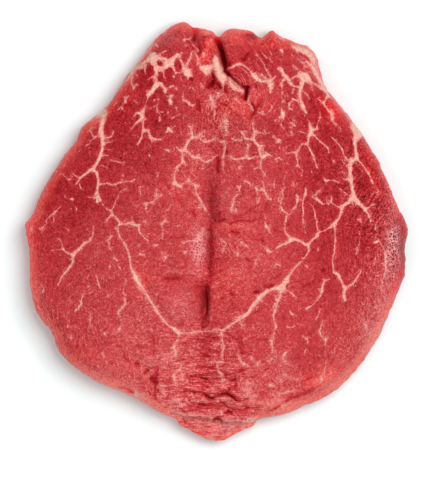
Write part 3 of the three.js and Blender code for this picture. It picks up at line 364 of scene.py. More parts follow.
    (0.75, 0.6, -12, -35.3, -10, -35.4, -8, -35.3, -6.4, -35), (0.55, 0.45, -5.8, -34.9, -5, -35),
    (0.4, 0.5, -4.2, -35.1, -3.6, -34.8), (0.5, 0.8, -2.8, -34.8, -1, -34.4, 1, -34.4, 2.2, -34.6),
    (0.85, 0.85, 2.2, -34.6, 3.4, -33.8, 4.8, -32.8, 6.4, -31.7, 8, -30.8),
    (0.6, 1.3, 7, -30, 8.4, -29.7, 9.8, -29.4), (1.3, 1.2, 9.2, -29.9, 11, -28.6, 12, -26.9),
    (1.25, 1.7, 12, -26.9, 13, -25.4, 14.2, -24.3, 15.2, -23.4),
    # veins of the middle and of the tail
    (0.9, 0.7, 22, -23, 21.4, -24.2), (0.7, 0.6, 21.4, -24, 20.6, -23.6), (0.6, 0.8, 20.4, -25.4, 20, -26.4),
    (0.7, 0.75, 21.2, -24.6, 20.9, -26.6, 20.5, -28), (0.8, 0.9, 20.4, -28, 20, -29.2),
    (0.6, 0.45, 20, -30.2, 20.3, -31.6), (0.45, 0.8, 20.5, -31.8, 20.9, -33.4),
    (0.3, 0.3, 20.4, -34.6, 20, -37), (0.7, 0.9, 18.7, -37.8, 19.4, -38), (0.8, 0.5, 19.4, -38, 19.4, -39.4),
    (0.3, 0.3, 19.4, -39.8, 19.6, -41, 19.8, -42.4), (0.7, 0.45, -13.2, -35.6, -13, -36.6),
    (0.35, 0.75, -13.6, -37.4, -14.2, -39, -15, -40.6), (0.7, 0.9, -15, -40.6, -14.4, -41.6, -14.2, -43),
    (0.45, 0.45, -12.2, -46.4, -12.4, -47.4), (0.9, 0.8, -12.8, -48, -12.4, -48.2),
    (0.5, 0.85, -14.4, -49.4, -14.8, -51), (0.85, 0.45, -14.8, -51.2, -14.6, -52.4),
    (0.5, 0.5, -10.2, -51.6, -10, -52.4), (0.45, 0.35, -13.8, -53.4, -13.6, -53.6),
    (0.55, 0.5, 1.8, -35.6, 2, -36.4), (0.5, 0.65, 2, -37.6, 2.3, -39, 2.4, -40.6),
    (0.7, 0.6, 2.4, -40.6, 2, -42), (0.6, 0.75, 2, -42.2, 2.3, -43.8), (0.75, 0.6, 2.1, -45.4, 2.2, -45.6),
    (0.45, 0.65, 0.4, -46, 0.2, -47.6), (0.65, 0.75, 0.2, -47.6, 0.8, -49, 1.8, -49.8),
    (0.75, 0.55, 1.8, -49.8, 2.6, -50.6), (0.4, 0.6, 2, -50.8, 2.2, -52.2), (0.3, 0.3, 8.6, -31.8, 9, -33),
    (0.45, 0.75, 7.8, -43.8, 8.2, -44.8), (0.75, 0.65, 8.2, -44.8, 9, -45.8, 9.8, -46.4),
    (0.8, 0.35, 9.8, -46.4, 10.8, -46.8), (0.3, 0.3, 9.8, -37.6, 10.4, -37.4),
    (0.6, 0.5, 14.2, -46.2, 14.6, -46.2), (0.45, 0.4, 12, -44.2, 12.3, -44.6),
    (0.5, 0.5, 19.2, -44.4, 19.6, -44.6), (0.45, 0.4, 18, -45.2, 18.6, -45.6),
    (0.45, 0.85, 24.6, -42, 24, -42.6), (0.85, 0.6, 24, -42.6, 23.4, -43.6, 23.2, -44.6),
    (0.4, 0.45, 24.4, -46, 24.2, -46.4), (0.5, 0.8, 18.2, -53.8, 19.2, -53.4),
    (0.45, 0.5, 22.2, -52, 22.5, -52.4), (0.6, 0.8, 26.2, -28.6, 26.8, -29),
    (0.4, 0.4, 25.8, -27.8, 26, -28.2), (0.7, 0.6, 25, -33.2, 25.4, -33.5),
    (0.35, 0.5, 26.4, -33.6, 27, -33), (0.5, 0.45, 11, -57.2, 11.4, -57.4), (0.35, 0.3, 9, -56.6, 9.6, -57),
    (0.35, 0.35, 21.8, -56.6, 24, -56.4, 24.8, -56),
    # upper left rim and the net under it
    (0.6, 1.2, -22.4, 65.6, -23.2, 64, -24.8, 62.4), (1.0, 0.8, -25.4, 61.8, -26.6, 60, -27.6, 58.4),
    (1.0, 1.6, -27.8, 58, -28.6, 57, -29.5, 55.6), (1.4, 0.5, -29.7, 55.2, -30.8, 53.6, -32.2, 52.2),
    (0.4, 0.25, -32.4, 52, -34.2, 49.8, -36, 47.4), (3.0, 3.6, -21.9, 61.4, -22.3, 60.4),
    (3.6, 1.2, -22.5, 60.2, -22.4, 58.8), (0.8, 0.4, -23.2, 62, -22.8, 62.8),
    (0.9, 1.6, -21.7, 58.6, -21.2, 56.8), (1.6, 0.5, -21, 56.6, -20.8, 55.2, -20.4, 54.6),
    (0.5, 0.7, -20, 61.8, -19.3, 62.4, -18.5, 62.9, -17.7, 63.2),
    (0.9, 0.5, -20, 60.8, -19.3, 59.8, -18.4, 59, -17.6, 58.7),
    (0.6, 1.2, -20.4, 56.1, -19, 56.8, -17.4, 57.5), (1.3, 2.0, -17.2, 57.8, -15.9, 58.6),
    (1.9, 1.1, -15.8, 59, -14.7, 60.6), (1.0, 1.3, -14.6, 60.7, -13.6, 61.8),
    (0.6, 0.4, -13, 61.5, -12, 62.6), (0.45, 0.4, -14.9, 57.6, -14.6, 56.2, -14.3, 55.2),
    (0.4, 0.5, -14.2, 55.6, -13.2, 55.6, -12.2, 55.7), (0.5, 1.3, -12.2, 58.7, -11.4, 57.6, -10.8, 56.8),
    (2.0, 2.5, -10.7, 56.2, -10.3, 55.4), (2.3, 0.7, -10.2, 55.2, -9.8, 54.2, -9.9, 53.5),
    (1.0, 0.4, -9.8, 56.4, -8.5, 56.7), (0.6, 0.9, -10.4, 57.4, -10.3, 58.4, -9.7, 59.5),
    (0.8, 0.5, -9.7, 59.5, -9.1, 60.6, -8.8, 62, -8.3, 63.2), (1.1, 1.3, -28.4, 57, -26.6, 57.3, -25, 58),
    (0.5, 0.45, -25.2, 57.4, -25, 56.2, -24.8, 55.2), (0.3, 0.35, -24, 53, -22.6, 54.1, -21.5, 54.9),
    (0.7, 0.6, -29.5, 54, -29.7, 52.8, -29.6, 51.6), (0.55, 0.7, -29.4, 51.1, -28.8, 50.3),
    (0.35, 0.3, -29, 50, -29.4, 49.2), (0.45, 0.4, -27.9, 51.5, -27.7, 51.3),
    (0.4, 0.4, -27.8, 54.7, -27.6, 54.5), (0.8, 1.5, -21.1, 52.3, -21.4, 51.4, -21.8, 50.6),
    (1.5, 1.4, -21.8, 50.6, -22.2, 49.4, -22.8, 48.5), (1.4, 0.5, -22.8, 48.5, -23.5, 47.6, -23.9, 47),
    (0.3, 0.35, -23.9, 46.9, -24.4, 45.5, -24.9, 44.3), (0.3, 0.25, -23.5, 47.5, -24.4, 48, -24.5, 49.2),
    (0.5, 0.75, -21, 50.5, -19.9, 51.2, -19.1, 51.7), (0.7, 0.6, -19.1, 51.7, -18.6, 51, -18.3, 50.4),
    (0.8, 1.1, -18.2, 50.2, -17.8, 49.4), (0.9, 0.4, -17.8, 49.2, -17.8, 48.4),
    (0.55, 0.45, -20.9, 54, -20.8, 53), (0.5, 0.5, -16.5, 47.4, -15.7, 47.6, -14.9, 47.7),
    (0.35, 0.35, -17.3, 47.2, -16.4, 47.1), (0.9, 0.9, -15.9, 47.4, -15.9, 46),
    (0.5, 0.5, -16.4, 50.5, -15.6, 50.9, -15, 50.9), (0.45, 0.45, -14.1, 50.1, -13.9, 49.9),
    (0.55, 0.5, -21.8, 46, -21.6, 46), (0.4, 0.4, -20.5, 46.2, -20.3, 46.2),
    (0.4, 0.35, -31.2, 47, -30.4, 47.6), (0.8, 0.45, -18.8, 56.2, -18.4, 55.5),
    (0.3, 0.35, -18.5, 55.2, -18.4, 54.2, -17.9, 53.7), (0.6, 0.55, -15, 54.4, -14.8, 54),
    (0.35, 0.4, -12.5, 54.2, -12.3, 53), (0.4, 0.35, -11.8, 46.9, -11.6, 46.2),
    (0.35, 0.3, -11.6, 49.2, -11.6, 47.6), (0.4, 0.4, -8.3, 50.2, -8.1, 50),
    (0.35, 0.35, -28.4, 45.6, -28, 45, -27.4, 45), (1.0, 0.5, -21.2, 65.3, -20.4, 64.7),
    # left of the cleft
    (0.3, 0.3, -11.3, 67.2, -10, 67.2, -9, 67.6, -8.4, 68.2), (0.3, 0.3, -11.4, 67, -10.9, 66.5),
    (0.3, 0.25, -10.7, 65.2, -10.4, 64.6), (0.35, 0.4, -9.4, 67, -8.6, 66.2, -8.1, 65, -7.2, 64.4),
    (0.5, 0.8, -7.2, 64.4, -6.4, 63.6), (0.8, 0.4, -6.3, 63.5, -6.5, 62.9),
    (0.7, 0.6, -3.2, 69.3, -2.8, 69.1), (0.5, 0.5, -1.7, 67.1, -1.6, 66.9),
    (0.9, 0.7, -4.7, 62.5, -4.4, 61.9), (0.4, 0.55, -7.7, 62.7, -6.9, 61.6, -6.5, 60.4),
    (0.55, 0.7, -6.5, 60.4, -6.3, 58.8), (2.1, 2.6, -5.1, 57.3, -2.6, 57.1),
    (2.4, 1.2, -3.9, 56.4, -3.5, 55.2), (0.9, 0.4, -2.3, 55.8, -2, 54.5), (0.9, 2.2, -0.4, 61.4, -0.3, 60.1),
    (2.4, 3.0, -0.3, 60, 0.2, 58), (3.0, 4.1, 0.3, 57.8, 1.3, 55.7), (4.1, 3.3, 1.4, 55.4, 2, 53.9),
    (3.1, 1.4, 2, 53.7, 2.3, 52.1), (1.3, 0.35, 2.3, 51.9, 2.2, 49.5), (0.35, 0.4, 2.5, 56.4, 3.8, 56.6),
    # right of the cleft
    (1.1, 0.9, 4, 57, 6, 57.6), (0.8, 1.2, 6, 57.8, 7.2, 58.4, 8.2, 58.6),
    (1.0, 0.3, 8.2, 58.6, 9.6, 58.1, 11, 57, 12.2, 55.8), (0.5, 2.2, 4.6, 54.1, 5.4, 52.5),
    (2.4, 3.2, 5.4, 52.3, 6.6, 50.9), (3.0, 1.6, 6.8, 50.7, 9, 49.3), (0.35, 0.5, 0.2, 48.7, 1, 48.3),
    (0.45, 0.4, 0.6, 47.5, 1.6, 47.8, 2.8, 48.4), (0.7, 1.0, 10.9, 47.9, 11.4, 47),
    (0.9, 0.4, 11.3, 46.6, 10.9, 45.2), (1.0, 1.2, 11.7, 44.5, 12.5, 43.5),
    (1.1, 0.6, 12.5, 43.5, 13.1, 42.4), (0.35, 0.3, -5.5, 52, -5, 51, -4.6, 50),
    (0.7, 1.7, 12, 55.7, 13, 54.8), (2.0, 1.6, 13.2, 54.6, 14.2, 53.4),
    (1.4, 1.0, 14.4, 53.2, 16, 52.6, 17.6, 52.5), (1.1, 0.5, 17.6, 52.5, 19.2, 53, 20.6, 54.3),
    (0.35, 0.45, 17.4, 56.6, 18.1, 55.4, 18.8, 54.3, 19, 53.2), (1.4, 1.8, 18.3, 52.2, 18.8, 51),
    (1.7, 0.5, 18.9, 50.8, 19, 50, 18.9, 48.7), (0.9, 0.5, 19.6, 52, 19.9, 50.6),
    (0.5, 0.5, 15.8, 55, 16.4, 54.4, 17, 54), (0.35, 0.35, 16.8, 57.6, 17.4, 56.8),
    (0.3, 0.3, 14, 62, 15.6, 60, 17, 58.2), (0.3, 0.25, 16, 62.4, 17.6, 60.8),
    (0.3, 0.25, 18.6, 60.6, 19.6, 59), (0.7, 1.4, 21.6, 56.9, 22.3, 57),
    (1.4, 1.1, 22.3, 57, 23.1, 55.8, 23.7, 54.8), (1.3, 1.6, 23.7, 54.8, 24.6, 53.8),
    (1.5, 0.6, 24.7, 53.7, 25.7, 52.7, 26.3, 52), (0.6, 0.9, 23.5, 53.2, 23, 52.2, 22.7, 51.4),
    (0.8, 0.4, 22.7, 51.3, 22.9, 50.3), (0.55, 0.5, 23.1, 49, 23.2, 48.4),
    (0.7, 0.6, 23.3, 45.6, 23.6, 45.2), (0.35, 0.35, 24.8, 47.8, 25.2, 47.4),
    (0.9, 0.7, 25.3, 45, 25.5, 44, 25.6, 43), (0.5, 0.4, 25.7, 42.9, 26.6, 42.6),
    (0.6, 1.4, 22.8, 42.7, 23.2, 41.5), (1.4, 1.5, 23.2, 41.5, 23.2, 40.4),
    (1.4, 0.5, 23.2, 40.2, 23.3, 39.2), (0.5, 0.35, 22.6, 40, 21.8, 39.8),
    (0.5, 0.6, 14.5, 41.8, 15.3, 41.4, 16.2, 42), (0.3, 0.35, 19.4, 44.4, 19.2, 43, 18.8, 42, 18.2, 41.9),
    (0.5, 0.45, 20.4, 38.9, 20.8, 39), (0.35, 0.45, 22.6, 37.4, 23.2, 36.6, 23.6, 36.2),
    (0.45, 0.4, 25.9, 36.6, 26.4, 36.4), (0.3, 0.35, 27.4, 39.4, 28, 39),
    (0.3, 0.3, 26, 38.2, 27.4, 37, 27.8, 37.3), (0.45, 0.4, 30.7, 36.9, 30.9, 36.8),
    (0.45, 0.4, 38.8, 38, 39, 38), (1.0, 2.0, 26.6, 64.8, 28.4, 64.2),
    (2.0, 2.5, 28.4, 64, 30.4, 63.4, 32, 62.6), (2.5, 2.2, 32, 62.6, 33.2, 61.4, 33.9, 60.2),
    (2.0, 1.0, 34, 60, 34.5, 58.6), (0.8, 1.7, 31.4, 59.5, 33, 58.2, 34.2, 56.8),
    (1.2, 2.4, 28.8, 55, 30.4, 54.6), (3.0, 2.8, 31, 54.3, 31.9, 53.3),
    (0.3, 0.3, 26.4, 57, 27.6, 56.2, 29, 55.2), (0.25, 0.3, 27, 58, 28.4, 56.8, 29.6, 55.8),
    (0.3, 0.25, 28.6, 60.2, 30.2, 59, 31.6, 57.4), (1.1, 0.9, 22.7, 63.3, 23.1, 62.9),
    (0.4, 0.35, 18.8, 62.8, 19.4, 61.8), (0.6, 0.5, 22.4, 67.4, 23.4, 67.2),
    # lower right
    (0.8, 0.5, 36.9, -20.6, 36.4, -22, 36, -23.2),
    (0.35, 0.35, 35.8, -22.6, 34.8, -24.4, 33.6, -25.6, 32.6, -26.3),
    (0.8, 0.5, 32.6, -26.2, 31.8, -26.8, 31.2, -27.1),
    (0.4, 0.35, 36.2, -27, 36, -28, 35.6, -29.4, 34.8, -30.6), (0.5, 0.45, 37.1, -31.3, 37.1, -31.6),
    (0.35, 0.8, 37, -32, 36.3, -33.8, 36.1, -35), (0.8, 0.45, 36.1, -35.1, 36.6, -36.3),
    (0.5, 0.65, 36.6, -36.3, 37.4, -37.4, 38.3, -38), (0.25, 0.25, 38.4, -37.8, 39, -36.8),
    (0.3, 0.25, 38.2, -38.4, 38, -40.2), (0.4, 0.35, 35.8, -43, 36, -43.4),
    (0.3, 0.35, 38.3, -45, 38.2, -47, 37.8, -48.6, 37.5, -49.6), (0.4, 0.5, 36.7, -50, 36.6, -51.6),
    (0.5, 0.3, 36.6, -51.6, 36.4, -53), (0.5, 0.5, 52, -32.4, 52.6, -32.8),
    (0.45, 0.4, 52.4, -33, 52.8, -34.4), (0.55, 0.4, 31.8, -37.2, 32, -38.8),
    (0.3, 0.3, 30.3, -36.4, 31.4, -37.6), (0.45, 0.35, 31.4, -41, 30.8, -42.6),
    (0.3, 0.3, 22, -56.6, 24.6, -56.4, 27, -55.5), (0.3, 0.25, 24, -50.4, 26, -50.9, 28, -51.8),
    # torn edge of the tail
    (0.7, 0.5, -16, -62.9, -14, -63.3, -12, -63.9, -10.6, -64),
    (0.45, 0.35, -10.6, -64, -8, -64.1, -6, -64.2, -3.4, -64.5),
    (0.4, 0.8, -3.4, -64.5, -2.2, -65, -1.6, -65.4), (0.7, 0.4, -15, -58.7, -13.8, -59.3, -12.4, -60.1),
    (0.5, 0.4, -10, -51.6, -10, -52.3), (0.5, 0.45, 1.9, -66.1, 3, -66.1, 5.2, -65.9, 8, -66),
    (0.5, 1.0, 8, -66.1, 9.6, -66.3, 11, -66.5, 13, -66.5),
    (1.0, 0.45, 11.2, -65.5, 12.6, -65.4, 15, -65.1, 17.4, -64.9),
    (0.35, 0.35, 16.8, -65, 19, -64.3, 20.6, -63.4), (0.3, 0.3, 21, -62.8, 23.6, -61.2, 25.4, -60),
    (0.3, 0.3, 1.8, -63.2, 2.6, -62.4, 4.2, -62, 5.6, -62.4, 6, -63.2),
    (0.3, 0.25, 6, -63.4, 7, -64.2, 7.6, -65), (0.8, 0.9, -3, -71.9, -1.6, -72.4),
    (0.8, 0.7, -1.2, -72.4, -0.2, -72.2),
    (0.3, 0.3, -1.4, -70.9, 0.2, -71.3, 1.8, -71.4, 3, -71, 4.6, -70.2),
    (0.25, 0.25, -2.2, -66.8, -1.4, -65.8, -0.6, -65.2),
    # the net between the cleft and the right star
    (0.5, 1.1, 12.8, 36.2, 13.2, 35.4, 13.4, 34.7), (1.0, 0.8, 13.4, 34.7, 13.1, 33.6, 13, 32.4),
    (1.0, 1.3, 13, 32.4, 13.6, 31.2, 14.4, 30.3, 15, 29.8), (0.9, 0.8, 15, 29.8, 15, 28.6, 15.2, 27.4),
    (0.8, 1.4, 15.2, 27.4, 15.6, 26.6, 16.3, 26.1), (0.45, 0.8, 10.3, 32.6, 11.4, 32.4, 12.8, 32),
    (0.8, 0.35, 15, 30, 16, 30, 16.8, 30.1), (0.7, 0.35, 13.5, 34.8, 14.6, 34.9),
    (0.4, 0.3, 14.6, 34.4, 15.8, 34.5, 16.6, 34.1), (0.4, 0.7, 16.6, 35.8, 17, 34.9, 17.3, 34.2),
    (0.8, 0.6, 8.6, 35.1, 9.2, 34.2, 9.6, 33.3), (0.6, 0.9, 9.6, 33.3, 9.9, 32.9, 10.2, 32.4),
    (0.7, 0.6, 10, 35.1, 10.2, 34.6), (0.5, 0.8, 5.4, 32.5, 6.5, 32, 7.5, 31.9),
    (0.6, 0.45, 7.6, 32.3, 8.4, 31.9, 9, 31.9), (0.35, 0.7, 0.6, 32, 1.2, 31.5, 1.8, 31.3),
    (0.5, 0.4, 2.3, 31.8, 3, 31.4, 3.7, 31), (0.5, 0.6, 4.2, 26.8, 5, 26.2, 6, 25.4),
    (0.7, 0.6, 6, 25.4, 7.4, 25.3, 8.8, 25.6), (0.7, 0.9, 8.8, 25.6, 10, 25.9, 11.4, 25.6),
    (0.7, 0.35, 11.4, 25.6, 12.6, 25.7, 13.8, 26.4), (0.5, 0.5, 10.5, 27, 10.9, 26.3),
    (0.8, 0.7, 10.9, 30.3, 11.1, 30), (0.6, 0.8, 11.1, 29.5, 10.9, 28.9),
    (0.5, 0.35, 10.7, 28.3, 10.2, 27.4), (1.2, 0.9, 16.4, 26.1, 17.2, 26.5, 18, 26.9),
    (0.8, 0.4, 18, 26.9, 18.8, 26.8, 19.3, 26.3), (0.5, 0.4, 17.4, 27.1, 17.4, 27.8),
    (1.0, 0.4, 16, 26, 15.6, 25, 15.5, 24), (0.4, 0.9, 15.5, 24, 15.4, 23, 15.2, 22.4),
    (0.7, 0.4, 13.6, 22, 14.2, 22.3, 15, 22.4), (0.4, 0.35, 15.4, 22.2, 16, 21.2, 16.7, 20.4),
    (0.7, 0.5, 16.7, 20.3, 17.2, 19.5), (0.8, 0.35, 7.8, 21.9, 8.2, 22.4, 8.6, 22.9),
    (0.5, 0.7, 20.6, 25.1, 21.2, 25.6, 21.8, 25.8), (0.6, 0.5, 22.5, 25.6, 22.8, 25.3),
    (1.2, 0.9, 21.7, 32, 21.5, 31.3), (0.6, 0.3, 21.3, 31.3, 20.6, 30.9), (0.5, 0.3, 22, 31.4, 22.6, 31),
    (0.5, 0.45, 20.2, 33.2, 20.9, 32.5), (0.7, 0.5, 26.2, 34.9, 26.5, 33.9),
    (0.4, 0.35, 27.1, 37.9, 27.7, 36.9), (0.6, 0.45, 16.3, 29, 16.4, 28.2),
    (0.5, 0.4, 17.1, 47.8, 17.6, 46.2), (0.6, 0.4, 16.1, 41.9, 16.2, 40.8),
    (0.5, 0.4, 6.4, 46.6, 7.2, 46, 8.2, 44.8), (0.6, 0.4, 0.7, 48.3, 0.3, 47, -0.3, 45.6),
    (0.5, 0.35, 12.5, 38.4, 12.8, 37.2), (0.5, 0.35, 2.4, 38.8, 3, 37.6, 3.4, 36.4),
    (0.4, 0.3, 3.4, 36.2, 3.8, 34.6), (0.6, 0.4, 17.3, 13.4, 17.6, 12.4, 18.2, 11.6),
    (0.7, 0.4, 17.8, 11.4, 18.6, 11.3, 19.2, 11.3), (0.3, 0.25, 20.3, 15.4, 20.4, 17, 20.5, 18.6),
    (0.35, 0.3, 24.1, 19.8, 23.8, 18.4), (0.4, 0.3, 28.7, 23, 29.6, 22, 30.3, 21.3),
    (2.4, 3.0, 48, 37, 50.2, 34.2),
    (1.2, 1.0, -21.6, 60.6, -19.6, 60.8, -17.8, 60.2, -17.2, 58.8, -18.4, 57.4, -20.4, 57.2, -21.4, 58.6),
    (1.5, 1.1, -17.6, 59.2, -16, 60.2, -14.4, 61.2, -13, 61.4),
    (1.0, 0.7, -15.4, 60, -15.6, 58, -14.6, 56.4), (0.8, 0.6, -12.6, 60.2, -11.4, 58.4, -11.6, 56.8),
    (1.5, 2.1, -11.4, 57, -10, 56, -9.2, 54.6), (0.9, 1.5, -29, 56.5, -26, 58.6, -23.4, 60.4),
    (0.7, 0.5, -21, 57, -21.6, 54.6, -22, 52.6), (1.0, 1.5, -24.2, 47.8, -22.4, 49.6, -20, 51.6),
    (0.7, 0.4, -20, 51.6, -18.6, 50.2, -18, 48.6),
]

